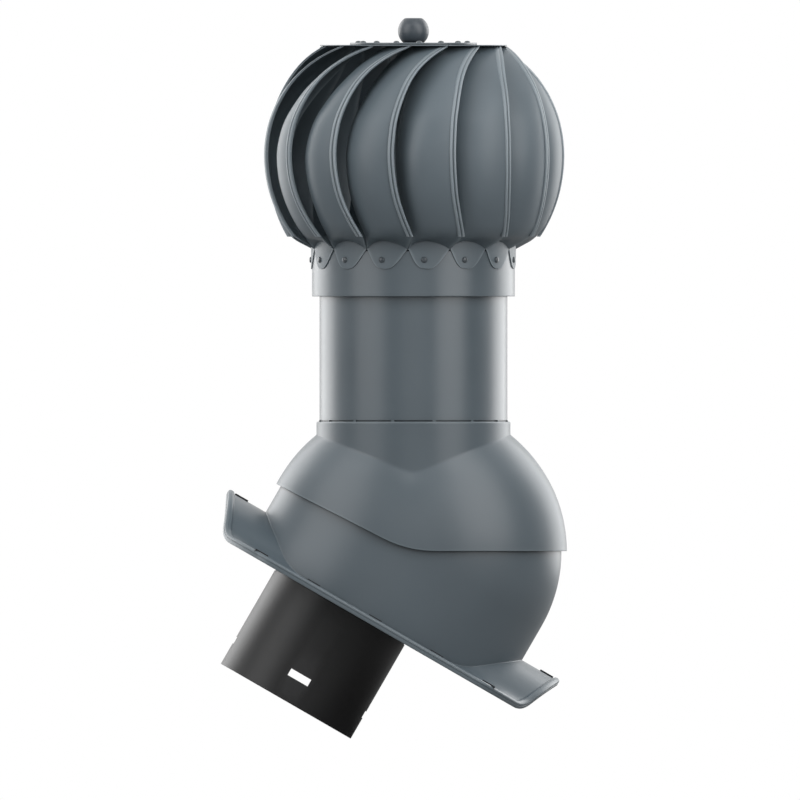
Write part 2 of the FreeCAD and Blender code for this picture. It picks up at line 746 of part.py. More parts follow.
collar_rivet = stud_head(size["rivet_head_radius"], size["rivet_head_rise"] + size["tab_gap"])
collar_rivet.rotate(CENTRE, X_AXIS, 90)
collar_rivet.rotate(CENTRE, Z_AXIS, size["vane_phase"] + rivet_turn)
collar_rivet.translate(at(tab_out, size["vane_phase"] + rivet_turn, hole_level))
shaped("collar_rivets", Part.makeCompound(around(collar_rivet, size["vane_count"])), "hood")

# Ball knob on its stud, with a nut under the disc.
DISC_TOP = "vane_top_level + vane_wall + disc_wall"
disc_top = size["vane_top_level"] + size["vane_wall"] + size["disc_wall"]
ball = [(0, size["knob_level"] - size["knob_radius"])]
for k in range(1, 10):
    lean = math.radians(-90 + 18 * k)
    ball.append((size["knob_radius"] * math.cos(lean),
                 size["knob_level"] + size["knob_radius"] * math.sin(lean)))
ball.append((0, size["knob_level"] + size["knob_radius"]))
ball_knob = lathe(ball).toNurbs()
keep = Part.makeCylinder(2 * size["knob_radius"], size["knob_top"] - disc_top,
                         FreeCAD.Vector(0, 0, disc_top))
stud = Part.makeCylinder(size["stud_radius"], size["stud_depth"] + 4,
                         FreeCAD.Vector(0, 0, disc_top - size["stud_depth"]))
shaped("ball_knob", ball_knob.common(keep).fuse(stud), "hood")
nut_foot = size["vane_top_level"] + size["vane_wall"] - size["stud_nut_rise"]
shaped("knob_nut", hex_nut(size["stud_nut_radius"], size["stud_radius"] + size["running_gap"],
                           size["stud_nut_rise"], nut_foot), "hood")

# Pivot yoke: a ring screwed under the neck, with two arms down to the pivots.
yoke_top = neck_top - size["neck_wall"]
arm_in = size["arm_radius"] - size["arm_wall"]
ring = lathe(((size["duct_radius"] + size["tab_gap"], yoke_top - size["yoke_wall"]),
              (size["yoke_radius"], yoke_top - size["yoke_wall"]),
              (size["yoke_radius"], yoke_top),
              (size["duct_radius"] + size["tab_gap"], yoke_top)))
arm_shell = lathe(((arm_in, -size["eye_radius"]), (size["arm_radius"], -size["eye_radius"]),
                   (size["arm_radius"], yoke_top - 1), (arm_in, yoke_top - 1)))
half = size["arm_width"] / 2
reach = 2 * size["arm_radius"]
arm_mould = Part.makePolygon([
    FreeCAD.Vector(-half, -reach, yoke_top), FreeCAD.Vector(half, -reach, yoke_top),
    FreeCAD.Vector(size["eye_radius"], -reach, 0), FreeCAD.Vector(-size["eye_radius"], -reach, 0),
    FreeCAD.Vector(-half, -reach, yoke_top)])
arm_mould = Part.Face(arm_mould).extrude(FreeCAD.Vector(0, 2 * reach, 0))
eye_mould = Part.makeCylinder(size["eye_radius"], 2 * reach, FreeCAD.Vector(0, -reach, 0), Y_AXIS)
yoke = ring.fuse(arm_shell.common(arm_mould.fuse(eye_mould)))
yoke = yoke.cut(Part.makeCylinder(size["pivot_radius"] + size["running_gap"], 2 * reach,
                                  FreeCAD.Vector(0, -reach, 0), Y_AXIS))
yoke_bolt = stud_head(size["rivet_head_radius"], size["rivet_head_rise"])
yoke_bolt.rotate(CENTRE, X_AXIS, 180)
screw_ring = size["yoke_radius"] - size["rivet_head_radius"]
yoke_bolt.translate(FreeCAD.Vector(screw_ring, 0, yoke_top - size["yoke_wall"]))
bolts = around(yoke_bolt, size["yoke_screws"])
shaped("pivot_yoke", yoke, "hood")
shaped("yoke_screws", Part.makeCompound(bolts), "hood")

# Pivot pins: shoulder screws through the yoke's eyes into the dome's bosses.
face = size["arm_radius"] + size["pivot_gap"]
pin_length = size["pivot_head_rise"] + face - arm_in + 9
pin = lathe(((0, 0), (size["pivot_head_radius"], 0),
             (size["pivot_head_radius"], size["pivot_head_rise"]),
             (size["pivot_radius"], size["pivot_head_rise"]),
             (size["pivot_radius"], pin_length), (0, pin_length)))
pin.rotate(CENTRE, X_AXIS, -90)
start = arm_in - size["pivot_gap"] - size["pivot_head_rise"]
pin.translate(FreeCAD.Vector(0, start, 0))
other = pin.copy()
other.rotate(CENTRE, Z_AXIS, 180)
pins = []
for copy in (pin, other):
    copy.translate(FreeCAD.Vector(size["hood_offset"], 0, size["hood_height"]))
    pins.append(copy)
shaped("pivot_pins", Part.makeCompound(pins), "roof")


# Dome and base plate, in the roof frame.
dome_radius = size["cap_radius"] - size["cap_wall"] - size["dome_gap"]
dome_half = size["cap_half_width"] - size["cap_wall"] - size["dome_gap"]
squash = dome_half / dome_radius
hood_spot = FreeCAD.Vector(size["hood_offset"], 0, size["hood_height"])


def dome_skin(radius, depth, low):
    """The dome's wall between two levels, open below and above."""
    long, inner = radius, radius - depth
    short, narrow = radius * squash, (radius - depth) * squash
    high = size["opening_level"] + size["cap_radius"] / 3
    solid = squeezed_ball(long, short, 0, high)
    bore = squeezed_ball(inner, narrow, 0, high)
    if low < 0:
        solid = solid.fuse(Part.Face(oval(low, long, short)).extrude(FreeCAD.Vector(0, 0, -low)))
        bore = bore.fuse(Part.Face(oval(low, inner, narrow)).extrude(FreeCAD.Vector(0, 0, -low)))
    return solid.cut(bore)


def tube(long, low, high):
    """An upright oval prism under the hood centre, between two levels."""
    shape = Part.Ellipse(FreeCAD.Vector(size["hood_offset"], 0, size["hood_height"] + low),
                         long, long * squash)
    face = Part.Face(Part.Wire([shape.toShape()]))
    return face.extrude(FreeCAD.Vector(0, 0, high - low))


def arch(offset, length):
    """The region below the plate's arched surface, raised by an offset."""
    crest = size["crest_radius"] + offset
    foot = size["foot_radius"] - offset
    middle = -size["crest_level"] - size["crest_radius"]
    flat = -size["flat_level"] + offset
    foot_centre = flat + foot
    # both arcs meet on the line between their centres
    across = math.sqrt((crest + foot) ** 2 - (foot_centre - middle) ** 2)
    share = crest / (crest + foot)
    meet = FreeCAD.Vector(0, across * share, middle + (foot_centre - middle) * share)
    lean = math.atan2(across, foot_centre - middle) / 2
    on_foot = FreeCAD.Vector(0, across - foot * math.sin(lean), foot_centre - foot * math.cos(lean))
    end = size["plate_half_width"] + 40
    half = [FreeCAD.Vector(0, 0, middle + crest), meet, on_foot, FreeCAD.Vector(0, across, flat),
            FreeCAD.Vector(0, end, flat), FreeCAD.Vector(0, end, 5 * flat)]
    flip = [FreeCAD.Vector(0, -p.y, p.z) for p in half]
    edges = [Part.Arc(flip[1], half[0], half[1]).toShape(),
             Part.Arc(half[1], half[2], half[3]).toShape(),
             Part.LineSegment(half[3], half[4]).toShape(),
             Part.LineSegment(half[4], half[5]).toShape(),
             Part.LineSegment(half[5], flip[5]).toShape(),
             Part.LineSegment(flip[5], flip[4]).toShape(),
             Part.LineSegment(flip[4], flip[3]).toShape(),
             Part.Arc(flip[3], flip[2], flip[1]).toShape()]
    solid = Part.Face(Part.Wire(edges)).extrude(FreeCAD.Vector(2 * length, 0, 0))
    solid.translate(FreeCAD.Vector(size["hood_offset"] - length, 0, size["hood_height"]))
    return solid


low_end = size["hood_height"] - 2 * size["flat_level"]
tall = 2 * size["flat_level"]


def footprint(inset):
    """A tall prism on the plate's outline: straight sides, bowed ends, round corners."""
    bow = size["end_bow_radius"]
    shift = bow - size["plate_half_length"]
    half_width = size["plate_half_width"]
    hood = size["hood_offset"]
    ends = [Part.makeCylinder(bow, tall, FreeCAD.Vector(hood + shift, 0, low_end)),
            Part.makeCylinder(bow, tall, FreeCAD.Vector(hood - shift, 0, low_end))]
    block = Part.makeBox(4 * bow, 2 * half_width, tall,
                         FreeCAD.Vector(hood - 2 * bow, -half_width, low_end))
    prism = block.common(ends[0]).common(ends[1])
    uprights = []
    for item in prism.Edges:
        box = item.BoundBox
        if box.ZLength > tall / 2 and abs(abs(box.Center.y) - half_width) < 1e-3:
            uprights.append(item)
    prism = prism.makeFillet(size["corner_radius"], uprights)
    if not inset:
        return prism
    low_face = min(prism.Faces, key=lambda item: item.CenterOfMass.z)
    inner = low_face.OuterWire.makeOffset2D(-inset)
    return Part.Face(inner).extrude(FreeCAD.Vector(0, 0, tall))


wall = size["dome_wall"]
far_end = size["plate_half_length"] + 30
outline = footprint(0)
sheet_top = arch(0, far_end)
sheet_foot = arch(-size["plate_wall"], far_end)
rim_zone = outline.cut(footprint(size["rim_width"]))
plate = sheet_top.cut(sheet_foot).common(outline)
rim = arch(size["rim_rise"], far_end).cut(arch(-size["plate_wall"], far_end)).common(rim_zone)
skirt_zone = outline.cut(footprint(size["rim_skirt"]))
skirt = arch(0, far_end).cut(arch(-size["rim_drop"], far_end)).common(skirt_zone)
opening_gap = tube(dome_radius - wall / 2, -size["skirt_level"] - 5, 5)
lip = tube(dome_radius - wall / 2, -size["lip_level"], -size["lip_level"] + size["lip_wall"])
lip = lip.cut(tube(dome_radius - wall - size["lip_width"],
                   -size["lip_level"] - 1, -size["lip_level"] + size["lip_wall"] + 1))


def beyond_opening(offset):
    """Everything past the dome's opening plane, moved out by an offset, round the hood."""
    wide = 2 * size["cap_radius"]
    block = Part.makeBox(2 * wide, 2 * wide, wide,
                         FreeCAD.Vector(-wide, -wide, size["opening_level"] + offset))
    block.rotate(CENTRE, Y_AXIS, -size["opening_tilt"])
    return block


dome = dome_skin(dome_radius, wall, -size["skirt_level"]).cut(beyond_opening(0))
dome.translate(hood_spot)
bosses = Part.makeCylinder(size["boss_radius"], 2 * (dome_half - wall / 2),
                           FreeCAD.Vector(0, -dome_half + wall / 2, 0), Y_AXIS)
bosses = bosses.cut(Part.makeBox(80, 2 * face, 80, FreeCAD.Vector(-40, -face, -40)))
bosses.translate(FreeCAD.Vector(size["hood_offset"], 0, size["hood_height"]))
base_shell = plate.multiFuse([rim, skirt]).cut(opening_gap).multiFuse([dome, lip]).fuse(bosses)
for copy in pins:
    base_shell = base_shell.cut(copy)

# Screw pads: dark pads on the crest and along both sides of the plate.
crest_station = size["crest_pad_station"]
stations = [(-crest_station, 0, size["crest_pad_length"]), (crest_station, 0, size["crest_pad_length"])]
for side in (-1, 1):
    for place_x in (-size["side_pad_station"], -size["side_pad_station"] + size["side_pad_pitch"], 0,
                    size["side_pad_station"] - size["side_pad_pitch"], size["side_pad_station"]):
        stations.append((place_x, side * (size["plate_half_width"] - size["side_pad_inset"]),
                         size["side_pad_length"]))
pads = []
crest_pads = arch(size["pad_rise"], far_end).cut(sheet_top)
side_pads = arch(size["side_pad_rise"], far_end).cut(sheet_top)
for along, across, long in stations:
    block = Part.makeBox(long, size["pad_width"], tall,
                         FreeCAD.Vector(size["hood_offset"] + along - long / 2,
                                        across - size["pad_width"] / 2, low_end))
    pads.append((side_pads if across else crest_pads).common(block).cut(rim))
holes = []
for along in (-crest_station, crest_station):
    holes.append(Part.makeCylinder(size["screw_hole_radius"], 60,
                                   FreeCAD.Vector(size["hood_offset"] + along, 0,
                                                  size["hood_height"] - size["crest_level"] - 30)))
pads[0] = pads[0].cut(holes[0])
pads[1] = pads[1].cut(holes[1])
base_shell = base_shell.cut(holes[0]).cut(holes[1])
bolt_spots = []
for k in range(int(size["carrier_screws"])):
    turn_k = 2 * math.pi * (k + 0.5) / int(size["carrier_screws"])
    inset = wall + size["lip_width"] / 2
    bolt_spots.append(FreeCAD.Vector(
        size["hood_offset"] + (dome_radius - inset) * math.cos(turn_k),
        (dome_half - inset) * math.sin(turn_k),
        size["hood_height"] - size["lip_level"] - size["carrier_wall"]))
shaped("base_shell", base_shell, "roof")
shaped("plate_pads", Part.makeCompound(pads), "roof")

# Foam strip under the plate's edge.
foam_zone = footprint(size["foam_inset"]).cut(footprint(size["foam_inset"] + size["foam_width"]))
foam = sheet_foot.cut(arch(-size["plate_wall"] - size["foam_rise"], far_end)).common(foam_zone)
for copy in holes:
    foam = foam.cut(copy)
shaped("plate_foam", foam, "roof")

# Hood seal: a rubber band round the dome's opening, just clear of the cap.
seal_radius = size["cap_radius"] - size["cap_wall"] - size["seal_gap"]
band = dome_skin(seal_radius, seal_radius - dome_radius, 0).cut(beyond_opening(0))
band = band.common(beyond_opening(-size["hood_seal_width"]))
band.translate(hood_spot)
shaped("hood_seal", Part.makeCompound([band]), "roof")

# Spigot carrier: an oval plate under the dome's lip, with a collar for the pipe.
carrier_top = -size["lip_level"]
gap = size["carrier_gap"]
carrier = tube(dome_radius - wall - gap, carrier_top - size["carrier_wall"], carrier_top)
collar_base = size["hood_height"] + carrier_top - size["carrier_wall"]
collar = Part.makeCylinder(size["duct_radius"] + gap + size["collar_wall"], size["collar_rise"],
                           FreeCAD.Vector(0, 0, collar_base))
carrier = carrier.fuse(collar)
carrier = carrier.cut(Part.makeCylinder(size["duct_radius"] + size["running_gap"],
                                        size["collar_rise"] + 20,
                                        FreeCAD.Vector(0, 0, collar_base - 10)))
carrier_bolts = []
for spot in bolt_spots:
    bolt = stud_head(size["carrier_screw_head"], 2.2)
    bolt.rotate(CENTRE, X_AXIS, 180)
    bolt.translate(spot)
    carrier_bolts.append(bolt)
collar_bolt = stud_head(size["carrier_screw_head"], 2.2)
collar_bolt.rotate(CENTRE, Y_AXIS, 90)
bolt_level = collar_base + size["collar_rise"] - 7
collar_bolt.translate(FreeCAD.Vector(size["duct_radius"] + gap + size["collar_wall"], 0, bolt_level))
carrier_bolts.extend(around(collar_bolt, 3, 60))
shaped("spigot_carrier", carrier, "roof")
shaped("carrier_screws", Part.makeCompound(carrier_bolts), "roof")

# Flexible bend between the spigot and the inner pipe.
tangent = size["bend_tangent"]
turn_radius = tangent / math.tan(PITCH / 2)
cuff = 12
skin = 1.2
hinge = FreeCAD.Vector(-turn_radius, 0, 0)
spigot_top = size["hood_height"] + size["hood_offset"] / math.tan(PITCH) - tangent
bores = []
for radius in (size["duct_radius"] + 0.3 + skin, size["duct_radius"] + 0.3):
    rings = []
    for turn, along in ((0, -cuff), (0, 0), (0.5, 0), (1, 0), (1, cuff)):
        ring = Part.Wire([Part.Circle(FreeCAD.Vector(0, 0, along), Z_AXIS, radius).toShape()])
        ring.rotate(hinge, FreeCAD.Vector(0, -1, 0), turn * size["roof_pitch"])
        rings.append(ring)
    bores.append(Part.makeLoft(rings, True, True))
flex_duct = bores[0].cut(bores[1])
flex_duct.translate(FreeCAD.Vector(0, 0, spigot_top))
shaped("flex_duct", Part.makeCompound([flex_duct]), "roof")

doc.recompute()
for item in doc.Objects:
    if "Invalid" in item.State or "Error" in item.State:
        raise RuntimeError("%s: %s" % (item.Name, item.State))
for node in nodes:
    if node.Shape.isNull() or not node.Shape.isValid():
        raise RuntimeError("%s has no valid shape" % node.Label)

os.makedirs("parts", exist_ok=True)
for node in nodes:
    node.Shape.exportStep("parts/%s.step" % node.Label)
    print("%-20s %2d solids %9.0f mm3" % (node.Label, len(node.Shape.Solids), node.Shape.Volume))
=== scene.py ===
import bmesh
import bpy
import json
import math
from mathutils import Matrix, Vector


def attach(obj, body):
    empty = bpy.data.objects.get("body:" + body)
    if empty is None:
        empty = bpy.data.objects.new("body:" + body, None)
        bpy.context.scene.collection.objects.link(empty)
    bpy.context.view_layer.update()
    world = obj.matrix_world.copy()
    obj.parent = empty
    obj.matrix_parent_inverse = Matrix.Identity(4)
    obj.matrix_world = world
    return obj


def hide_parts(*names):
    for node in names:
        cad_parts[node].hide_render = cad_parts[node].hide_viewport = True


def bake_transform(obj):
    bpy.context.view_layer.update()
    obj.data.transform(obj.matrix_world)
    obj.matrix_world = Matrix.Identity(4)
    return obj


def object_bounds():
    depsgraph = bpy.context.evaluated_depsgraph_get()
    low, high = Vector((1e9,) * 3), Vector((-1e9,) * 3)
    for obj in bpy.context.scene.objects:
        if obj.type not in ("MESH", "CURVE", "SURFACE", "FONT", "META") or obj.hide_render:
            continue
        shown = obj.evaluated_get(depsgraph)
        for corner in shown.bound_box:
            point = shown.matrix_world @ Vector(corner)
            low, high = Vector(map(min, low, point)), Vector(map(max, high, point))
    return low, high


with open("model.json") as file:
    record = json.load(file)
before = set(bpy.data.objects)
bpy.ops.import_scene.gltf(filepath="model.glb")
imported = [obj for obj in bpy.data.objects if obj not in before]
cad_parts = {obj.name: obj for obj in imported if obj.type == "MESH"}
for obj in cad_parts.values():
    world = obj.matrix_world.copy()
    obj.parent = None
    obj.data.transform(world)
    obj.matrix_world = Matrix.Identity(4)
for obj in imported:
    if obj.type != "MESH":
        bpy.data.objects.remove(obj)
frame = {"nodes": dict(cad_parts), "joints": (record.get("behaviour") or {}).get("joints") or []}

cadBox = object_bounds()
scene = bpy.context.scene
print("frame loaded with", len(frame["nodes"]), "nodes")

# Shapes are drawn in millimetres round the hood centre and placed in metres.
joints = {joint["name"]: joint for joint in frame["joints"]}
hoodCentre = Vector(joints["pitch_adjust"]["pos_m"])
millimetre = 0.001
roofPitch = 30
hoodPlace = Matrix.Translation(hoodCentre) @ Matrix.Scale(millimetre, 4)
roofPlace = (Matrix.Translation(hoodCentre) @ Matrix.Rotation(math.radians(roofPitch), 4, "Y")
             @ Matrix.Scale(millimetre, 4))


# Small tools for shapes

def mixed(a, b, share):
    return a + (b - a) * share


# Evenly spaced values from a to b
def spread(a, b, count, ends=True):
    last = count - 1 if ends else count
    return [mixed(a, b, k / last) for k in range(count)]


def polar(radius, degrees, level):
    turn = math.radians(degrees)
    return Vector((radius * math.cos(turn), radius * math.sin(turn), level))


def smoothMax(a, b, reach):
    near = max(reach - abs(a - b), 0) / reach
    return max(a, b) + reach * near * near / 4


# A smooth curve through (x, value, value, ...) rows, read at x
def curveThrough(points, x):
    last = len(points) - 1
    k = 0
    while k < last - 1 and x > points[k + 1][0]:
        k += 1
    before, a, b, after = (points[max(k - 1, 0)], points[k], points[k + 1],
                           points[min(k + 2, last)])
    width = b[0] - a[0]
    share = min(max((x - a[0]) / width, 0), 1)
    values = []
    for item in range(1, len(a)):
        slopeA = (b[item] - before[item]) / (b[0] - before[0])
        slopeB = (after[item] - a[item]) / (after[0] - a[0])
        s2, s3 = share ** 2, share ** 3
        values.append((2 * s3 - 3 * s2 + 1) * a[item] + (s3 - 2 * s2 + share) * width * slopeA
                      + (3 * s2 - 2 * s3) * b[item] + (s3 - s2) * width * slopeB)
    return values


cornerShare = 0.42      # the most that a soft corner takes of the run beside it
cornerHold = 1.15       # an extra point this far out keeps the flat flat


# Round the corners of a closed outline of (radius, level, softness)
def softened(corners, bends=4):
    points = []
    count = len(corners)
    for k, (across, up, soft) in enumerate(corners):
        here = Vector((across, up))
        if soft <= 0:
            points.append(here)
            continue
        back = Vector(corners[k - 1][:2]) - here
        onward = Vector(corners[(k + 1) % count][:2]) - here
        reach = min(soft, cornerShare * back.length, cornerShare * onward.length)
        start = here + back.normalized() * reach
        end = here + onward.normalized() * reach
        points.append(here + back.normalized() * reach * cornerHold)
        for step in range(bends + 1):
            share = step / bends
            points.append(start.lerp(here, share).lerp(here.lerp(end, share), share))
        points.append(here + onward.normalized() * reach * cornerHold)
    return points


def gridFaces(rows, columns, closeRows=False, closeColumns=False):
    faces = []
    for row in range(rows if closeRows else rows - 1):
        here, there = row * columns, (row + 1) % rows * columns
        for column in range(columns if closeColumns else columns - 1):
            beside = (column + 1) % columns
            faces.append((here + column, here + beside, there + beside, there + column))
    return faces


# A closed skin: every row is a closed outline, and the last row meets the first
def ringShape(rows):
    points = [point for row in rows for point in row]
    return points, gridFaces(len(rows), len(rows[0]), True, True)


# A closed skin along rows of closed outlines, capped at both ends
def rodShape(rows):
    columns = len(rows[0])
    points = [point for row in rows for point in row]
    faces = gridFaces(len(rows), columns, False, True)
    faces.append(tuple(range(columns)))
    faces.append(tuple(reversed(range(len(points) - columns, len(points)))))
    return points, faces


def lathe(corners, steps=180):
    outline = softened(corners)
    return ringShape([[polar(spot.x, 360 * k / steps, spot.y) for spot in outline]
                      for k in range(steps)])


# A solid turned from an open outline of (radius, level), closed flat at both ends
def turnedShape(outline, steps):
    columns = len(outline)
    points = [polar(radius, 360 * k / steps, level) for k in range(steps)
              for radius, level in outline]
    faces = gridFaces(steps, columns, True, False)
    faces.append(tuple(k * columns for k in range(steps)))
    faces.append(tuple(k * columns + columns - 1 for k in range(steps)))
    return points, faces


def joinedShapes(shapes):
    points, faces = [], []
    for more, joined in shapes:
        base = len(points)
        points += more
        faces += [tuple(base + index for index in face) for face in joined]
    return points, faces


def movedShape(shape, matrix):
    points, faces = shape
    return [matrix @ point for point in points], faces


# second is another finish, and how many of the first faces wear it
def makePiece(name, shape, place, body, finish, replaced=(), sharpAngle=38,
              second=None):
    points, faces = shape
    mesh = bpy.data.meshes.new(name)
    mesh.from_pydata([place @ point for point in points], [], faces)
    mesh.materials.append(finish)
    if second:
        mesh.materials.append(second[0])
        for face in mesh.polygons[:second[1]]:
            face.material_index = 1
    work = bmesh.new()
    work.from_mesh(mesh)
    bmesh.ops.remove_doubles(work, verts=work.verts, dist=2e-6)
    bmesh.ops.dissolve_degenerate(work, edges=work.edges, dist=1e-6)
    bmesh.ops.recalc_face_normals(work, faces=work.faces)
    work.to_mesh(mesh)
    work.free()
    mesh.shade_smooth()
    mesh.set_sharp_from_angle(angle=math.radians(sharpAngle))
    piece = bpy.data.objects.new(name, mesh)
    scene.collection.objects.link(piece)
    if body:
        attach(piece, body)
    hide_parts(*replaced)
    return piece


# Finishes

# A colour on screen, 0 to 255, as the linear value that a shader takes
def colour(red, green, blue):
    values = []
    for part in (red, green, blue):
        share = part / 255
        values.append(share / 12.92 if share <= 0.04045 else ((share + 0.055) / 1.055) ** 2.4)
    return (*values, 1)


def newGroup(name, inputs, outputs):
    group = bpy.data.node_groups.new(name, "ShaderNodeTree")
    for label, kind, start in inputs:
        socket = group.interface.new_socket(name=label, in_out="INPUT", socket_type=kind)
        socket.default_value = start
    for label, kind in outputs:
        group.interface.new_socket(name=label, in_out="OUTPUT", socket_type=kind)
    return group, group.nodes.new("NodeGroupInput"), group.nodes.new("NodeGroupOutput")


# Fine bumps and slow changes of tone, as a coat of paint or a moulding has
def makeSurfaceGrain():
    group, given, result = newGroup(
        "surfaceGrain",
        (("Scale", "NodeSocketFloat", 900), ("Depth", "NodeSocketFloat", 0.1),
         ("Blotch Scale", "NodeSocketFloat", 14)),
        (("Normal", "NodeSocketVector"), ("Blotch", "NodeSocketFloat")))
    nodes, links = group.nodes, group.links
    where = nodes.new("ShaderNodeTexCoord")
    fine = nodes.new("ShaderNodeTexNoise")
    fine.inputs["Detail"].default_value = 3
    slow = nodes.new("ShaderNodeTexNoise")
    slow.inputs["Detail"].default_value = 4
    bump = nodes.new("ShaderNodeBump")
    bump.inputs["Distance"].default_value = 0.0004
    links.new(where.outputs["Object"], fine.inputs["Vector"])
    links.new(where.outputs["Object"], slow.inputs["Vector"])
    links.new(given.outputs["Scale"], fine.inputs["Scale"])
    links.new(given.outputs["Blotch Scale"], slow.inputs["Scale"])
    links.new(given.outputs["Depth"], bump.inputs["Strength"])
    links.new(fine.outputs["Fac"], bump.inputs["Height"])
    links.new(bump.outputs["Normal"], result.inputs["Normal"])
    links.new(slow.outputs["Fac"], result.inputs["Blotch"])
    return group


# Mask for a painted highlight on outer edges: one there and zero elsewhere
def makeEdgeHighlightMask():
    group, given, result = newGroup(
        "edgeHighlightMask", (("From", "NodeSocketFloat", 0.508), ("To", "NodeSocketFloat", 0.56)),
        (("Edge", "NodeSocketFloat"),))
    nodes, links = group.nodes, group.links
    shape = nodes.new("ShaderNodeNewGeometry")
    ramp = nodes.new("ShaderNodeMapRange")
    links.new(shape.outputs["Pointiness"], ramp.inputs["Value"])
    links.new(given.outputs["From"], ramp.inputs["From Min"])
    links.new(given.outputs["To"], ramp.inputs["From Max"])
    links.new(ramp.outputs["Result"], result.inputs["Edge"])
    return group


shadeReach = 0.003       # metres; how far from a seam, groove or gap the painted shade reaches
shadeTone = 0.4          # the brightness that the painted shade leaves in a seam


# Mask for painted shade: one in the open, falling to zero in seams, grooves and narrow gaps
# where shade falls
def makePaintedShadeMask():
    group, given, result = newGroup(
        "paintedShadeMask", (("Reach", "NodeSocketFloat", shadeReach), ("From", "NodeSocketFloat", 0.3),
                     ("To", "NodeSocketFloat", 0.85)),
        (("Open", "NodeSocketFloat"),))
    nodes, links = group.nodes, group.links
    gap = nodes.new("ShaderNodeAmbientOcclusion")
    gap.samples = 6
    ramp = nodes.new("ShaderNodeMapRange")
    links.new(given.outputs["Reach"], gap.inputs["Distance"])
    links.new(given.outputs["From"], ramp.inputs["From Min"])
    links.new(given.outputs["To"], ramp.inputs["From Max"])
    links.new(gap.outputs["AO"], ramp.inputs["Value"])
    links.new(ramp.outputs["Result"], result.inputs["Open"])
    return group


surfaceGrain = makeSurfaceGrain()
edgeHighlightMask = makeEdgeHighlightMask()
paintedShadeMask = makePaintedShadeMask()

# Colours as they look on screen. grain is how fine the bumps are and depth how deep, blotch
# is the slow change of tone, edge tones are painted highlights on outer edges, and the reach
# and tone of the painted shade say how far it spreads from seams and gaps and how dark it gets.
finishes = {
    # The sheet's painted shade reaches further and is darker: painted shadow under the collar's
    # foot and round the tabs.
    "graphiteSheet": {"tone": colour(84, 95, 102), "edgeHighlightTone": colour(122, 133, 139),
                      "roughness": 0.34, "coat": 0.35, "grain": 700, "depth": 0.05,
                      "blotch": 0.05, "specular": 0.6, "shadeReach": 0.008,
                      "shadeTone": 0.1},
    # The vanes wear the same graphite paint as the sheet, rougher, and painted lighter as
    # painted light on the vanes.
    "graphiteVaneLightened": {"tone": colour(93, 104, 111), "edgeHighlightTone": colour(132, 142, 148),
                     "roughness": 0.46, "coat": 0.12, "grain": 700, "depth": 0.05,
                     "blotch": 0.04, "specular": 0.5},
    # Painted highlight: the hems wear a lighter copy of the vane paint, standing in for the
    # light their beads reflect.
    "hemPaintedHighlight": {"tone": colour(114, 125, 132), "edgeHighlightTone": colour(158, 168, 174),
                    "roughness": 0.36, "coat": 0.3, "grain": 700, "depth": 0.05,
                    "blotch": 0.04, "specular": 0.6},
    # The moulding's painted shade reaches further, as painted shade in the crease between dome
    # and plate.
    "graphiteMoulding": {"tone": colour(84, 95, 102), "edgeHighlightTone": colour(120, 131, 137),
                         "roughness": 0.38, "coat": 0.25, "grain": 1100, "depth": 0.06,
                         "blotch": 0.04, "specular": 0.6, "shadeReach": 0.008},
    "graphiteRivet": {"tone": colour(50, 58, 64), "edgeHighlightTone": colour(96, 106, 112),
                      "roughness": 0.3, "coat": 0.3, "grain": 900, "depth": 0.04,
                      "blotch": 0.08, "specular": 0.6},
    "darkKnob": {"tone": colour(62, 70, 77), "edgeHighlightTone": colour(88, 98, 105),
                 "roughness": 0.44, "coat": 0.2, "grain": 900, "depth": 0.04,
                 "blotch": 0.05, "specular": 0.6},
    "blackPlastic": {"tone": colour(27, 27, 28), "edgeHighlightTone": colour(60, 60, 61),
                     "roughness": 0.42, "coat": 0.0, "grain": 1500, "depth": 0.12,
                     "blotch": 0.1, "specular": 0.5},
    "blackPad": {"tone": colour(26, 27, 29), "edgeHighlightTone": colour(60, 62, 65),
                 "roughness": 0.55, "coat": 0.0, "grain": 2000, "depth": 0.2,
                 "blotch": 0.1, "specular": 0.4},
    "sealRubber": {"tone": colour(24, 24, 25), "edgeHighlightTone": colour(48, 48, 50),
                   "roughness": 0.7, "coat": 0.0, "grain": 2600, "depth": 0.5,
                   "blotch": 0.2, "specular": 0.3},
    "zincSteel": {"tone": colour(176, 180, 184), "edgeHighlightTone": colour(214, 217, 220),
                  "roughness": 0.34, "coat": 0.0, "grain": 500, "depth": 0.1,
                  "blotch": 0.25, "specular": 0.5, "metal": 1},
    "galvanisedSheet": {"tone": colour(160, 165, 169), "edgeHighlightTone": colour(205, 208, 211),
                        "roughness": 0.4, "coat": 0.0, "grain": 120, "depth": 0.12,
                        "blotch": 0.35, "specular": 0.5, "metal": 1},
    "brightSteel": {"tone": colour(188, 189, 190), "edgeHighlightTone": colour(225, 226, 227),
                    "roughness": 0.2, "coat": 0.0, "grain": 1800, "depth": 0.08,
                    "blotch": 0.1, "specular": 0.5, "metal": 1},
    "bearingSteel": {"tone": colour(196, 197, 199), "edgeHighlightTone": colour(228, 229, 230),
                     "roughness": 0.16, "coat": 0.0, "grain": 1500, "depth": 0.04,
                     "blotch": 0.06, "specular": 0.5, "metal": 1},
    "mineralWool": {"tone": colour(176, 160, 104), "edgeHighlightTone": colour(206, 192, 140),
                    "roughness": 0.95, "coat": 0.0, "grain": 380, "depth": 1.0,
                    "blotch": 0.5, "specular": 0.1},
    "ductFoil": {"tone": colour(186, 188, 190), "edgeHighlightTone": colour(226, 227, 229),
                 "roughness": 0.3, "coat": 0.0, "grain": 260, "depth": 0.45,
                 "blotch": 0.15, "specular": 0.5, "metal": 1},
}


noiseRange = (0.3, 0.7)     # where a noise texture's values mostly lie
highlightShare = 0.55            # how much of the painted edge highlight shows on an edge
glossChange = 0.07          # change of roughness from patch to patch
coatSmoothness = 0.8        # the clear coat's roughness, as a share of the paint's


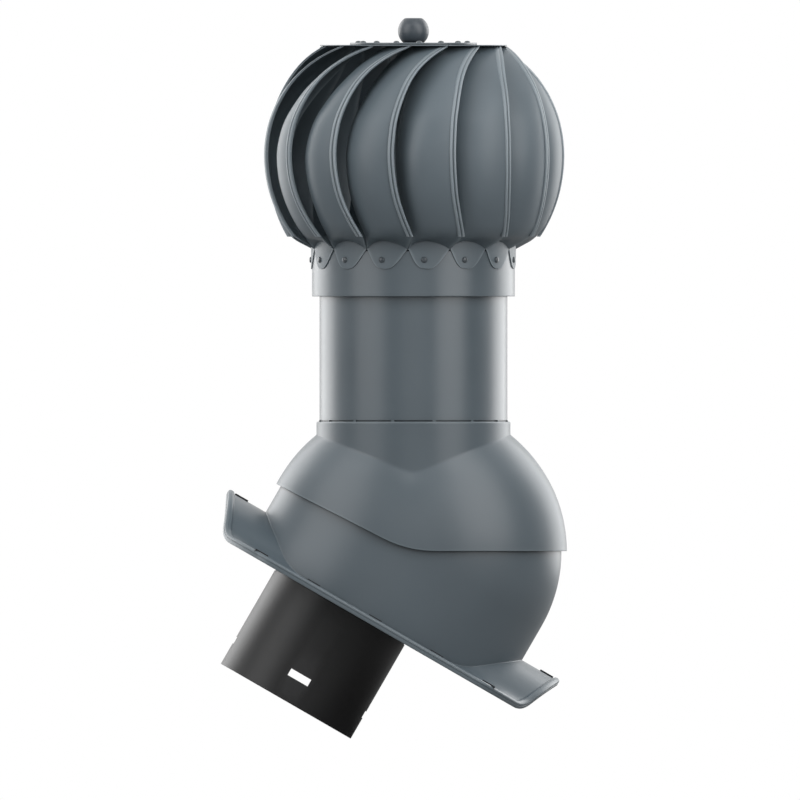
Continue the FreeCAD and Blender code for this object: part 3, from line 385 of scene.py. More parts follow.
def makeFinish(name, settings):
    material = bpy.data.materials.new(name)
    material.use_nodes = True
    nodes, links = material.node_tree.nodes, material.node_tree.links
    shader = nodes["Principled BSDF"]
    grain = nodes.new("ShaderNodeGroup")
    grain.node_tree = surfaceGrain
    grain.inputs["Scale"].default_value = settings["grain"]
    grain.inputs["Depth"].default_value = settings["depth"]
    edges = nodes.new("ShaderNodeGroup")
    edges.node_tree = edgeHighlightMask
    lift = nodes.new("ShaderNodeMix")
    lift.data_type = "RGBA"
    lift.inputs["A"].default_value = settings["tone"]
    lift.inputs["B"].default_value = settings["edgeHighlightTone"]
    highlightRamp = nodes.new("ShaderNodeMapRange")      # the painted edge highlight stays faint
    highlightRamp.inputs["To Max"].default_value = highlightShare
    patch = nodes.new("ShaderNodeMapRange")     # slow changes of tone
    patch.inputs["From Min"].default_value = noiseRange[0]
    patch.inputs["From Max"].default_value = noiseRange[1]
    patch.inputs["To Min"].default_value = 1 - settings["blotch"]
    patch.inputs["To Max"].default_value = 1 + settings["blotch"]
    shadeFinder = nodes.new("ShaderNodeGroup")
    shadeFinder.node_tree = paintedShadeMask
    shadeFinder.inputs["Reach"].default_value = settings.get("shadeReach", shadeReach)
    paintedShadeLevel = nodes.new("ShaderNodeMapRange")      # painted shade: seams, grooves and gaps are darker
    paintedShadeLevel.inputs["To Min"].default_value = settings.get("shadeTone", shadeTone)
    both = nodes.new("ShaderNodeMath")
    both.operation = "MULTIPLY"
    shade = nodes.new("ShaderNodeHueSaturation")
    gloss = nodes.new("ShaderNodeMapRange")     # gloss changes with the same patches
    gloss.inputs["From Min"].default_value = noiseRange[0]
    gloss.inputs["From Max"].default_value = noiseRange[1]
    gloss.inputs["To Min"].default_value = settings["roughness"] * (1 - glossChange)
    gloss.inputs["To Max"].default_value = settings["roughness"] * (1 + glossChange)
    links.new(edges.outputs["Edge"], highlightRamp.inputs["Value"])
    links.new(highlightRamp.outputs["Result"], lift.inputs["Factor"])
    links.new(grain.outputs["Blotch"], patch.inputs["Value"])
    links.new(grain.outputs["Blotch"], gloss.inputs["Value"])
    links.new(lift.outputs["Result"], shade.inputs["Color"])
    links.new(shadeFinder.outputs["Open"], paintedShadeLevel.inputs["Value"])
    links.new(patch.outputs["Result"], both.inputs[0])
    links.new(paintedShadeLevel.outputs["Result"], both.inputs[1])
    links.new(both.outputs["Value"], shade.inputs["Value"])
    links.new(shade.outputs["Color"], shader.inputs["Base Color"])
    links.new(gloss.outputs["Result"], shader.inputs["Roughness"])
    links.new(grain.outputs["Normal"], shader.inputs["Normal"])
    shader.inputs["Metallic"].default_value = settings.get("metal", 0)
    shader.inputs["Coat Weight"].default_value = settings["coat"]
    shader.inputs["Coat Roughness"].default_value = settings["roughness"] * coatSmoothness
    shader.inputs["Specular IOR Level"].default_value = settings["specular"]
    return material


finish = {name: makeFinish(name, settings) for name, settings in finishes.items()}
print("finishes made:", len(finish))


# Camera and light

view = {
    "frameWidth": 0.8,      # the photograph spans 800 mm
    "centre": Vector((0.1143, 0, 0.3012)),
    "distance": 4,
}


def makeCamera():
    data = bpy.data.cameras.new("camera")
    data.type = "ORTHO"
    data.ortho_scale = view["frameWidth"]
    camera = bpy.data.objects.new("camera", data)
    camera.location = view["centre"] + Vector((0, -view["distance"], 0))
    camera.rotation_euler = (math.radians(90), 0, 0)
    scene.collection.objects.link(camera)
    scene.camera = camera
    scene.view_settings.view_transform = "Standard"


lamps = {
    # azimuth from the front, elevation, distance, width, height, power
    "leftBox": (-54, 28, 1.9, 1.4, 2.2, 18.5),
    "rightBox": (46, 27, 1.9, 1.3, 2.2, 21.5),
    "frontBox": (0, 12, 2.4, 1.3, 1.3, 4),
    "topBox": (20, 66, 2.0, 1.2, 1.2, 6),
    "backLeft": (-132, 12, 2.0, 1.4, 1.9, 19),
    "backRight": (132, 12, 2.0, 1.4, 1.9, 19),
}


def makeLamps():
    for name, (azimuth, elevation, distance, width, height, power) in lamps.items():
        data = bpy.data.lights.new(name, "AREA")
        data.shape = "RECTANGLE"
        data.size = width
        data.size_y = height
        data.energy = power
        lamp = bpy.data.objects.new(name, data)
        lamp.visible_camera = False
        out, up = math.radians(azimuth), math.radians(elevation)
        way = Vector((math.sin(out) * math.cos(up), -math.cos(out) * math.cos(up),
                      math.sin(up)))
        lamp.location = view["centre"] + way * distance
        lamp.rotation_euler = way.to_track_quat("Z", "Y").to_euler()
        scene.collection.objects.link(lamp)


studio = {
    "skyTop": 0.42, "skyLow": 0.06,
    # what gloss meets round the object: azimuth from the front towards +X, brightness
    "walls": ((-180, 1), (-112, 1), (-92, 0.5), (-78, 0.12), (0, 0.1), (78, 0.05),
              (92, 0.3), (112, 1), (180, 1)),
    "wallsFoot": 0.35,      # how much of it is left straight below
    "wallsFade": (-0.7, 0.05),      # the heights between which it fades, -1 to 1
    "floorTone": 0.9,       # to the camera
    "floorGrey": 0.1,       # as the object's underside meets it
    "floorGloss": 0.3,      # how far gloss sees it pale
    "floorGlow": 0.5, "floorRoughness": 0.9, "floorMargin": 0.0005, "floorRadius": 3.2,
}


# White to the camera, studio walls to gloss, and a soft sky to the rest
def makeWorld():
    world = bpy.data.worlds.new("studio")
    scene.world = world
    world.use_nodes = True
    nodes, links = world.node_tree.nodes, world.node_tree.links
    background = nodes["Background"]
    background.inputs["Color"].default_value = (1, 1, 1, 1)
    rays = nodes.new("ShaderNodeLightPath")
    where = nodes.new("ShaderNodeTexCoord")
    parts = nodes.new("ShaderNodeSeparateXYZ")
    front = nodes.new("ShaderNodeMath")
    front.operation = "MULTIPLY"
    front.inputs[1].default_value = -1
    azimuth = nodes.new("ShaderNodeMath")
    azimuth.operation = "ARCTAN2"
    turn = nodes.new("ShaderNodeMapRange")
    turn.inputs["From Min"].default_value = -math.pi
    turn.inputs["From Max"].default_value = math.pi
    walls = nodes.new("ShaderNodeValToRGB")
    walls.color_ramp.interpolation = "EASE"
    stops = walls.color_ramp.elements
    while len(stops) < len(studio["walls"]):
        stops.new(0.5)
    for stop, (degrees, level) in zip(stops, studio["walls"]):
        stop.position = (degrees + 180) / 360
        stop.color = (level, level, level, 1)
    lower = nodes.new("ShaderNodeMapRange")
    lower.interpolation_type = "SMOOTHSTEP"
    lower.inputs["From Min"].default_value = studio["wallsFade"][0]
    lower.inputs["From Max"].default_value = studio["wallsFade"][1]
    lower.inputs["To Min"].default_value = studio["wallsFoot"]
    gloss = nodes.new("ShaderNodeMath")
    gloss.operation = "MULTIPLY"
    sky = nodes.new("ShaderNodeMapRange")
    sky.inputs["From Min"].default_value = -1
    sky.inputs["To Min"].default_value = studio["skyLow"]
    sky.inputs["To Max"].default_value = studio["skyTop"]
    forGloss = nodes.new("ShaderNodeMix")
    forCamera = nodes.new("ShaderNodeMix")
    forCamera.inputs["B"].default_value = 1
    seen = nodes.new("ShaderNodeMath")
    seen.operation = "MAXIMUM"
    links.new(where.outputs["Generated"], parts.inputs["Vector"])
    links.new(parts.outputs["Y"], front.inputs[0])
    links.new(parts.outputs["X"], azimuth.inputs[0])
    links.new(front.outputs["Value"], azimuth.inputs[1])
    links.new(azimuth.outputs["Value"], turn.inputs["Value"])
    links.new(turn.outputs["Result"], walls.inputs["Fac"])
    links.new(parts.outputs["Z"], lower.inputs["Value"])
    links.new(parts.outputs["Z"], sky.inputs["Value"])
    links.new(walls.outputs["Color"], gloss.inputs[0])
    links.new(lower.outputs["Result"], gloss.inputs[1])
    links.new(rays.outputs["Is Glossy Ray"], forGloss.inputs["Factor"])
    links.new(sky.outputs["Result"], forGloss.inputs["A"])
    links.new(gloss.outputs["Value"], forGloss.inputs["B"])
    links.new(rays.outputs["Is Camera Ray"], seen.inputs[0])
    links.new(rays.outputs["Is Transmission Ray"], seen.inputs[1])
    links.new(seen.outputs["Value"], forCamera.inputs["Factor"])
    links.new(forGloss.outputs["Result"], forCamera.inputs["A"])
    links.new(forCamera.outputs["Result"], background.inputs["Strength"])


def makeFloor():
    low = cadBox[0].z - studio["floorMargin"]
    rim = [Vector((view["centre"].x, 0, low)) + studio["floorRadius"]
           * Vector((math.cos(turn), math.sin(turn), 0))
           for turn in spread(0, 2 * math.pi, 96, ends=False)]
    mesh = bpy.data.meshes.new("floor")
    mesh.from_pydata(rim, [], [tuple(range(len(rim)))])
    floor = bpy.data.objects.new("floor", mesh)
    scene.collection.objects.link(floor)
    material = bpy.data.materials.new("paleFloor")
    material.use_nodes = True
    nodes, links = material.node_tree.nodes, material.node_tree.links
    shader = nodes["Principled BSDF"]
    shader.inputs["Roughness"].default_value = studio["floorRoughness"]
    rays = nodes.new("ShaderNodeLightPath")
    inGloss = nodes.new("ShaderNodeMath")
    inGloss.operation = "MULTIPLY"
    inGloss.inputs[1].default_value = studio["floorGloss"]
    seen = nodes.new("ShaderNodeMath")
    seen.operation = "MAXIMUM"
    tone = nodes.new("ShaderNodeMapRange")      # pale, partly so to gloss, grey to the rest
    tone.inputs["To Min"].default_value = studio["floorGrey"]
    tone.inputs["To Max"].default_value = studio["floorTone"]
    links.new(rays.outputs["Is Camera Ray"], seen.inputs[0])
    links.new(rays.outputs["Is Glossy Ray"], inGloss.inputs[0])
    links.new(inGloss.outputs["Value"], seen.inputs[1])
    links.new(seen.outputs["Value"], tone.inputs["Value"])
    links.new(tone.outputs["Result"], shader.inputs["Base Color"])
    glow = nodes.new("ShaderNodeMath")      # keeps its far end pale
    glow.operation = "MULTIPLY"
    glow.inputs[1].default_value = studio["floorGlow"]
    shader.inputs["Emission Color"].default_value = (1, 1, 1, 1)
    links.new(rays.outputs["Is Camera Ray"], glow.inputs[0])
    links.new(glow.outputs["Value"], shader.inputs["Emission Strength"])
    side = nodes.new("ShaderNodeNewGeometry")
    below = nodes.new("ShaderNodeMath")     # clear to a camera under it
    below.operation = "MULTIPLY"
    clear = nodes.new("ShaderNodeBsdfTransparent")
    either = nodes.new("ShaderNodeMixShader")
    links.new(side.outputs["Backfacing"], below.inputs[0])
    links.new(rays.outputs["Is Camera Ray"], below.inputs[1])
    links.new(below.outputs["Value"], either.inputs["Fac"])
    links.new(shader.outputs["BSDF"], either.inputs[1])
    links.new(clear.outputs["BSDF"], either.inputs[2])
    links.new(either.outputs["Shader"], nodes["Material Output"].inputs["Surface"])
    mesh.materials.append(material)


makeCamera()
makeLamps()
makeWorld()
makeFloor()
print("camera, lamps and floor made")


# Hood cap: half an ellipsoid with a round neck

cap = {"radius": 153.5, "halfWidth": 116, "wall": 1.8, "edgeLevel": 1, "edgeSlope": 26.9,
       "edgeBend": 113, "edgeCorner": 5.3, "neck": 97, "neckBore": 94, "neckTop": 130.5,
       "neckSoft": 2.5, "creaseSoft": 0.6, "creaseTip": 77.5, "creaseRise": 0.41,
       "creaseRound": 7, "creaseRows": (-5, -3, -1.5, 0, 1.5, 3, 5), "creaseBelow": 9,
       "creaseAbove": 8, "creaseRoom": 12, "upstand": 92.4, "upstandWall": 1.8,
       "upstandTop": 142.5, "ribRise": 1.2, "ribs": 14, "ribWidth": 3,
       "steps": 240, "domeRows": 24, "neckRows": 5}


# How much higher the plain ball's crease has to go to lie on a V, seen from the front
def creaseLift(degrees):
    across = cap["neck"] * math.cos(math.radians(degrees))
    along = cap["neck"] * math.sin(math.radians(degrees))
    plain = cap["radius"] * math.sqrt(1 - (across / cap["radius"]) ** 2
                                      - (along / cap["halfWidth"]) ** 2)
    wanted = cap["creaseTip"] + cap["creaseRise"] * math.hypot(across, cap["creaseRound"])
    return wanted / plain


def capReach(degrees, level, inset=0):
    turn = math.radians(degrees)
    long, short = cap["radius"] - inset, cap["halfWidth"] - inset
    near = min(max(level, 0) / cap["creaseTip"], 1) ** 3
    level /= 1 + (creaseLift(degrees) - 1) * near
    flat = max(1 - (level / long) ** 2, 1e-6)
    return math.sqrt(flat / ((math.cos(turn) / long) ** 2 + (math.sin(turn) / short) ** 2))


# The lower edge's level: flat down the slope, then a bend, then rising
def capEdge(across):
    slope = math.radians(cap["edgeSlope"])
    bendEnd = cap["edgeBend"] * math.tan(slope / 2) - cap["edgeCorner"]
    bendStart = bendEnd - cap["edgeBend"] * math.sin(slope)
    if across > bendEnd:
        return cap["edgeLevel"]
    drop = math.sqrt(cap["edgeBend"] ** 2 - (max(across, bendStart) - bendEnd) ** 2)
    level = cap["edgeLevel"] + cap["edgeBend"] - drop
    return level + max(bendStart - across, 0) * math.tan(slope)


def capLowEdge(degrees):
    level = cap["edgeLevel"]
    for _ in range(30):     # reach and level depend on each other
        level = capEdge(capReach(degrees, level) * math.cos(math.radians(degrees)))
    return level


def capCrease(degrees, neck, inset=0):
    turn = math.radians(degrees)
    long, short = cap["radius"] - inset, cap["halfWidth"] - inset
    share = neck ** 2 * ((math.cos(turn) / long) ** 2 + (math.sin(turn) / short) ** 2)
    return long * math.sqrt(1 - share) * creaseLift(degrees)


# Levels and radii from the lower edge up to the top of the neck
def capSkin(degrees, neck, top, inset):
    low = capLowEdge(degrees)
    crease = capCrease(degrees, neck, inset)
    room = min(1, (top - crease) / cap["creaseRoom"])
    levels = [low + 0.4] + spread(low + 1.4, crease - cap["creaseBelow"] * room,
                                  cap["domeRows"])
    levels += [crease + offset * room for offset in cap["creaseRows"]]
    levels += spread(crease + cap["creaseAbove"] * room, top, cap["neckRows"])
    return [(smoothMax(capReach(degrees, level, inset), neck, cap["creaseSoft"]), level)
            for level in levels]


def makeHoodCap():
    rows = []
    inner = cap["upstand"] - cap["upstandWall"]
    for degrees in spread(0, 360, cap["steps"], ends=False):
        outside = capSkin(degrees, cap["neck"], cap["neckTop"] - cap["neckSoft"] - 0.3, 0)
        inside = capSkin(degrees, cap["neckBore"], cap["neckTop"] - 6, cap["wall"])
        low = capLowEdge(degrees)
        edge = [(capReach(degrees, low, cap["wall"]) + share * cap["wall"], low)
                for share in (0.25, 0.75)]
        top = softened(((cap["neck"], cap["neckTop"] - 8, 0),
                        (cap["neck"], cap["neckTop"], cap["neckSoft"]),
                        (cap["upstand"], cap["neckTop"], 0.3),
                        (cap["upstand"], cap["upstandTop"], 0.5),
                        (inner, cap["upstandTop"], 0.5),
                        (inner, cap["neckTop"] - 3, 0.3),
                        (cap["neckBore"], cap["neckTop"] - 3, 0.3)), 5)[1:]
        outline = edge + outside + [(spot.x, spot.y) for spot in top] + inside[::-1]
        rows.append([polar(radius, degrees, level) for radius, level in outline])
    shapes = [ringShape(rows)]
    for degrees in spread(0, 360, cap["ribs"], ends=False):
        rib = softened(((inner + 0.5, cap["neckTop"] - 1, 0),
                        (cap["neck"] - cap["neckSoft"], cap["neckTop"] - 1, 0),
                        (cap["neck"] - cap["neckSoft"], cap["neckTop"] + cap["ribRise"], 0.4),
                        (inner + 0.5, cap["neckTop"] + cap["ribRise"], 0.2)))
        half = cap["ribWidth"] / 2
        bar = rodShape([[Vector((spot.x, side, spot.y)) for spot in rib]
                        for side in (-half, half)])
        shapes.append(movedShape(bar, Matrix.Rotation(math.radians(degrees), 4, "Z")))
    makePiece("hoodCap", joinedShapes(shapes), hoodPlace, "head",
              finish["graphiteMoulding"], ("hood_cap",))


makeHoodCap()
print("hood cap made")


# Base: lower dome, arched plate and its rolled rim, in the roof's directions

base = {"radius": 148, "halfWidth": 110.5, "wall": 2.5, "openingTilt": 13.5,
        "openingLevel": 66.5, "crest": 39.3, "crestRadius": 108, "footRadius": 39.8,
        "flat": 79, "plateWall": 2.5, "halfLength": 191, "plateHalf": 152, "bow": 212,
        "corner": 36, "rimWidth": 7.5, "fillet": 0.8, "steps": 320,
        "domeRows": 22, "skirtRows": 5, "filletRows": 6, "plateRows": 16, "underRows": 12,
        "insideRows": 14}


def domeReach(degrees, level, inset=0):
    turn = math.radians(degrees)
    long, short = base["radius"] - inset, base["halfWidth"] - inset
    flat = 1 - (max(level, 0) / long) ** 2
    return math.sqrt(flat / ((math.cos(turn) / long) ** 2 + (math.sin(turn) / short) ** 2))


def domeTop(degrees, inset=0):
    tilt = math.radians(base["openingTilt"])
    level = base["openingLevel"]
    for _ in range(40):     # reach and level depend on each other
        across = domeReach(degrees, level, inset) * math.cos(math.radians(degrees))
        wanted = (base["openingLevel"] + across * math.sin(tilt)) / math.cos(tilt)
        level = mixed(level, wanted, 0.7)
    return level


# The arched plate's level: a crest arc, a foot arc and a flat
def plateLevel(side):
    crest, foot = base["crestRadius"], base["footRadius"]
    middle = -base["crest"] - crest
    footMiddle = -base["flat"] + foot
    across = math.sqrt((crest + foot) ** 2 - (footMiddle - middle) ** 2)
    out = abs(side)
    if out < across * crest / (crest + foot):
        return middle + math.sqrt(crest ** 2 - out ** 2)
    if out < across:
        return footMiddle - math.sqrt(foot ** 2 - (across - out) ** 2)
    return -base["flat"]


# Distance from the hood centre to the plate's outline, moved in by an inset
def outlineReach(degrees, inset):
    way = Vector((abs(math.cos(math.radians(degrees))), abs(math.sin(math.radians(degrees)))))
    shift = base["bow"] - base["halfLength"]
    cornerY = base["plateHalf"] - base["corner"]
    cornerX = math.sqrt((base["bow"] - base["corner"]) ** 2 - cornerY ** 2) - shift
    toSide = (base["plateHalf"] - inset) / max(way.y, 1e-9)
    if toSide * way.x <= cornerX:
        return toSide

    def toCircle(centre, radius):
        along = way.dot(centre)
        return along + math.sqrt(max(radius ** 2 - centre.length_squared + along ** 2, 0))

    toBow = toCircle(Vector((-shift, 0)), base["bow"] - inset)
    lean = cornerY / (base["bow"] - base["corner"])
    if toBow * way.y <= (base["bow"] - inset) * lean:
        return toBow
    return toCircle(Vector((cornerX, cornerY)), base["corner"] - inset)


rimSection = (
    # distance in from the outline, height over the sheet's top
    (7.5, 0.0), (7.0, 0.25), (6.3, 1.1), (5.4, 1.85), (4.3, 2.2), (2.9, 2.2), (1.6, 1.9),
    (0.7, 1.25), (0.15, 0.4), (0.0, -0.5), (0.0, -1.1), (0.35, -1.35), (0.35, -1.6),
    (0.0, -1.9), (0.0, -4.2), (0.3, -4.9), (1.0, -5.2), (1.8, -5.2), (2.4, -4.8), (2.5, -4.2),
    (2.6, -2.9), (3.4, -2.5),
)


def makeBaseShell():
    rows = []
    for degrees in spread(0, 360, base["steps"], ends=False):
        way = polar(1, degrees, 0)
        top, topInside = domeTop(degrees), domeTop(degrees, base["wall"])
        foot = domeReach(degrees, 0)
        footLevel = plateLevel(foot * way.y)
        soft = base["fillet"]
        outline = [(domeReach(degrees, level), level)
                   for level in [top - 0.3] + spread(top - 1.5, 0, base["domeRows"])]
        outline += [(foot, level)
                    for level in spread(-3, footLevel + soft * 1.2, base["skirtRows"])]
        start, corner = Vector((foot, footLevel + soft)), Vector((foot, footLevel))
        end = Vector((foot + soft, plateLevel((foot + soft) * way.y)))
        for share in spread(0, 1, base["filletRows"]):
            spot = start.lerp(corner, share).lerp(corner.lerp(end, share), share)
            outline.append((spot.x, spot.y))
        out = outlineReach(degrees, base["rimWidth"])
        for reach in spread(foot + soft + 1, out - 0.4, base["plateRows"]):
            outline.append((reach, plateLevel(reach * way.y)))
        for inset, rise in rimSection:
            reach = outlineReach(degrees, inset)
            outline.append((reach, plateLevel(reach * way.y) + rise))
        inner = domeReach(degrees, 0, base["wall"])
        for reach in spread(outlineReach(degrees, 4), inner + 1, base["underRows"]):
            outline.append((reach, plateLevel(reach * way.y) - base["plateWall"]))
        innerFoot = plateLevel(inner * way.y) - base["plateWall"]
        outline += [(inner, level) for level in spread(innerFoot, -2, base["skirtRows"])]
        outline += [(domeReach(degrees, level, base["wall"]), level)
                    for level in spread(0, topInside, base["insideRows"])]
        rows.append([polar(radius, degrees, level) for radius, level in outline])
    makePiece("baseShell", ringShape(rows), roofPlace, "base",
              finish["graphiteMoulding"], ("base_shell",))


makeBaseShell()
print("base shell made")


# Duct spigot with four slots near its mouth, in the roof's directions

spigot = {"radius": 75, "wall": 3, "chamfer": 1.2, "slotWidth": 24, "slotHeight": 7.5,
          "slotLevel": 27.5, "offset": -36.1, "mouth": -193, "length": 215.53,
          "middle": 60, "groove": 108, "grooveWidth": 4, "grooveDepth": 0.8,
          "slotSteps": 6, "plainSteps": 26}


def makeSpigot():
    half = math.degrees(spigot["slotWidth"] / 2 / spigot["radius"])
    turns, slotted = [], []
    for quarter in range(4):
        turns += [quarter * 90 + turn
                  for turn in spread(-half, half, spigot["slotSteps"], ends=False)]
        slotted += [True] * spigot["slotSteps"]
        turns += [quarter * 90 + turn
                  for turn in spread(half, 90 - half, spigot["plainSteps"], ends=False)]
        slotted += [False] * spigot["plainSteps"]
    outer, inner = spigot["radius"], spigot["radius"] - spigot["wall"]
    slotLow = spigot["slotLevel"] - spigot["slotHeight"] / 2
    slotHigh = spigot["slotLevel"] + spigot["slotHeight"] / 2
    grooveLow = spigot["groove"]
    grooveHigh = grooveLow + spigot["grooveWidth"]
    grooveFloor = outer - spigot["grooveDepth"]
    lip = spigot["chamfer"]
    outline = [(inner + lip, 0), (outer - 0.5, 0), (outer - 0.15, 0.15), (outer, 0.5),
               (outer, 1.5), (outer, slotLow), (outer, slotHigh), (outer, spigot["middle"]),
               (outer, grooveLow - 0.4), (outer, grooveLow), (grooveFloor, grooveLow),
               (grooveFloor, grooveHigh), (outer, grooveHigh), (outer, grooveHigh + 0.4),
               (outer, spigot["length"]), (inner, spigot["length"]),
               (inner, spigot["middle"]), (inner, slotHigh), (inner, slotLow),
               (inner, lip + 1), (inner, lip)]
    columns = len(outline)
    low, highInside = outline.index((outer, slotLow)), outline.index((inner, slotHigh))
    high, lowInside = low + 1, highInside + 1
    points = [polar(radius, turn, level) for turn in turns for radius, level in outline]
    faces = []
    rows = len(turns)
    for row in range(rows):
        here, there = row * columns, (row + 1) % rows * columns
        for column in range(columns):
            beside = (column + 1) % columns
            if slotted[row] and column in (low, highInside):
                continue
            faces.append((here + column, here + beside, there + beside, there + column))
        if slotted[row]:        # the slot's sill and head
            faces.append((here + low, there + low, there + lowInside, here + lowInside))
            faces.append((here + high, here + highInside, there + highInside, there + high))
        if slotted[row] != slotted[row - 1]:    # the slot's two ends
            faces.append((here + low, here + high, here + highInside, here + lowInside))
    place = roofPlace @ Matrix.Translation((spigot["offset"], 0, spigot["mouth"]))
    makePiece("spigotPipe", (points, faces), place, "base", finish["blackPlastic"],
              ("spigot_pipe",))


makeSpigot()
print("spigot made")


# Pipes and collar

pipe = {"radius": 94, "wall": 1, "low": 131.7, "top": 277, "hem": 0.5}
collar = {"radius": 101.5, "wall": 1, "foot": 255.7, "top": 301, "hem": 5.2, "fold": 0.8}
innerPipe = {"radius": 75, "wall": 1, "low": 112.2, "top": 277}
cover = {"wall": 1.2, "gap": 0.1, "lip": 8}


def makeSheetTubes():
    makePiece("outerPipe", lathe((
        (pipe["radius"], pipe["low"], pipe["hem"]), (pipe["radius"], pipe["top"], pipe["hem"]),
        (pipe["radius"] - pipe["wall"], pipe["top"], pipe["hem"]),
        (pipe["radius"] - pipe["wall"], pipe["low"], pipe["hem"]))),
        hoodPlace, "head", finish["graphiteSheet"], ("outer_pipe",))
    inner = collar["radius"] - collar["wall"]
    makePiece("rotorCollar", lathe((
        (collar["radius"], collar["foot"], 0.8), (collar["radius"], collar["top"], 0.4),
        (inner, collar["top"], 0.4), (inner, collar["foot"] + collar["hem"], 0.2),
        (inner - collar["fold"], collar["foot"] + collar["hem"], 0.3),
        (inner - collar["fold"], collar["foot"], 0.8))),
        hoodPlace, "rotor", finish["graphiteSheet"], ("rotor_collar",))
    bore = innerPipe["radius"] - innerPipe["wall"]
    low, top = innerPipe["low"], innerPipe["top"]
    makePiece("innerPipe", lathe((
        (innerPipe["radius"], low, 0.3), (innerPipe["radius"], top, 0.3),
        (bore, top, 0.3), (bore, low, 0.3))),
        hoodPlace, "head", finish["galvanisedSheet"], ("inner_pipe",))
    inside = bore - cover["gap"]
    outside = pipe["radius"] + cover["gap"]
    low, top = pipe["top"] - cover["lip"], pipe["top"] + cover["wall"]
    makePiece("coverRing", lathe((
        (inside - cover["wall"], low, 0.3), (inside, low, 0.3), (inside, pipe["top"], 0),
        (outside, pipe["top"], 0), (outside, low, 0.3), (outside + cover["wall"], low, 0.3),
        (outside + cover["wall"], top, 1.1), (inside - cover["wall"], top, 1.1))),
        hoodPlace, "head", finish["galvanisedSheet"], ("cover_ring",))


makeSheetTubes()
print("pipes and collar made")


# Rotor vanes: blade, underside and tab are one sheet, with a double hem and a top flange

vane = {
    "count": 15, "phase": -7.5, "equator": 397, "foot": 315, "top": 506.2,
    "radius": 151, "crown": 139, "depth": 22, "wall": 1, "overlap": 0.5,
    "hemStep": 1.7, "hemWidth": 6.9,    # the hem stands out by its step
    "tabRadius": 102.5, "tabFoot": 283.3, "tabShift": -3.35, "tabSpan": 23.5,
    # the tab's sides: how far its foot is drawn in, in degrees, and how round they are
    "tabLeft": (11.0, 0.3), "tabRight": (12.0, 0.49),
    "foldLevel": 303, "foldRise": 8, "foldWarp": 0.8,
    "turnShare": -0.86, "turnUnder": 0.45,      # where blade and underside round over
    "flangeInner": 46,
    "columns": 18, "tabRows": 10, "turnRows": 8, "lowRows": 18, "highRows": 34,
    "hemRows": 52, "flangeSteps": 12,
    # share of the height from the equator, sweep of the hem in degrees, depth share, and
    # how late the blade falls away towards its root
    "stations": ((-1.00, 7.5, 0.50, 2.4), (-0.78, 4.4, 0.66, 2.8), (-0.52, 1.8, 0.84, 3.2),
                 (-0.26, 0.5, 0.95, 3.4), (0.00, 0.0, 1.00, 3.3), (0.16, 0.3, 1.10, 3.0),
                 (0.32, 1.1, 1.24, 2.6), (0.46, 2.6, 1.42, 2.1), (0.59, 4.6, 1.58, 1.8),
                 (0.70, 7.1, 1.70, 1.5), (0.80, 10.9, 1.72, 1.35), (0.88, 15.9, 1.66, 1.25),
                 (0.94, 21.4, 1.58, 1.2), (1.00, 29.5, 1.50, 1.2)),
}
vaneStep = 360 / vane["count"]


# A point from its azimuth, counted from the front towards +X
def atFront(radius, degrees, level):
    return polar(radius, degrees - 90, level)


def rotorReach(level):
    rise = level - vane["equator"]
    crown = vane["crown"] if rise > 0 else vane["radius"]
    return vane["radius"] * math.sqrt(1 - (rise / crown) ** 2)


def vaneLevel(share):
    height = vane["top"] - vane["equator"] if share > 0 else vane["equator"] - vane["foot"]
    return vane["equator"] + share * height


# Radius, azimuth and level on the blade's outside; across runs from root to tip
def bladeSpot(share, across):
    sweep, deep, late = curveThrough(vane["stations"], share)
    level = vaneLevel(share)
    fall = deep * vane["depth"] * (1 - across) ** late
    radius = rotorReach(level) - vane["hemStep"] - fall
    return radius, sweep - (1 - across) * (vaneStep + vane["overlap"]), level


# A spot on the tab; rise runs from its foot to its fold
def tabSpot(rise, across):
    span = vane["tabSpan"]
    left = vane["tabLeft"][0] * (1 - rise ** vane["tabLeft"][1])
    right = span - vane["tabRight"][0] * (1 - rise ** vane["tabRight"][1])
    turn = mixed(left, right, across)
    fold = foldLevel(turn / span)
    level = mixed(vane["tabFoot"], fold, rise)
    start = vane["stations"][0][1] + vane["tabShift"] - span
    return vane["tabRadius"], start + turn, level


# The fold between tab and underside, an arch that peaks left of its middle
def foldLevel(across):
    warped = across ** vane["foldWarp"]
    return vane["foldLevel"] + vane["foldRise"] * (1 - (2 * warped - 1) ** 2)


def vaneSheetRows():
    columns = spread(0, 1, vane["columns"])
    rows = []
    for rise in spread(0, 1, vane["tabRows"]):      # closer together near the foot
        rows.append([tabSpot(rise ** 2, across) for across in columns])
    lower = []
    for across in columns:
        fold, foot, blade = (Vector(tabSpot(1, across)), Vector(bladeSpot(-1, across)),
                             Vector(bladeSpot(vane["turnShare"], across)))
        under = foot.lerp(fold, vane["turnUnder"])
        lower.append([fold.lerp(under, share) for share in (0.1, 0.4, 0.7)]
                     + [under.lerp(foot, share).lerp(foot.lerp(blade, share), share)
                        for share in spread(0, 1, vane["turnRows"])[:-1]])
    rows += [[column[k] for column in lower] for k in range(len(lower[0]))]
    shares = (spread(vane["turnShare"], -0.02, vane["lowRows"])
              + spread(0.03, 0.985, vane["highRows"]) + [1])
    rows += [[bladeSpot(share, across) for across in columns] for share in shares]
    return [[atFront(*spot) for spot in row] for row in rows]


# The hem's section: distance back from the tip, height over the rotor's outline
hemSection = ((0.0, -3.2), (0.0, -1.2), (0.15, -0.6), (0.6, -0.1), (1.3, 0.1), (2.0, 0.0),
              (2.6, -0.5), (2.9, -1.1), (3.2, -1.3), (3.5, -1.1), (3.8, -0.5), (4.4, 0.0),
              (5.1, 0.1), (5.9, -0.1), (6.5, -0.6), (6.8, -1.3), (6.9, -2.2), (6.6, -3.2),
              (3.0, -3.2))


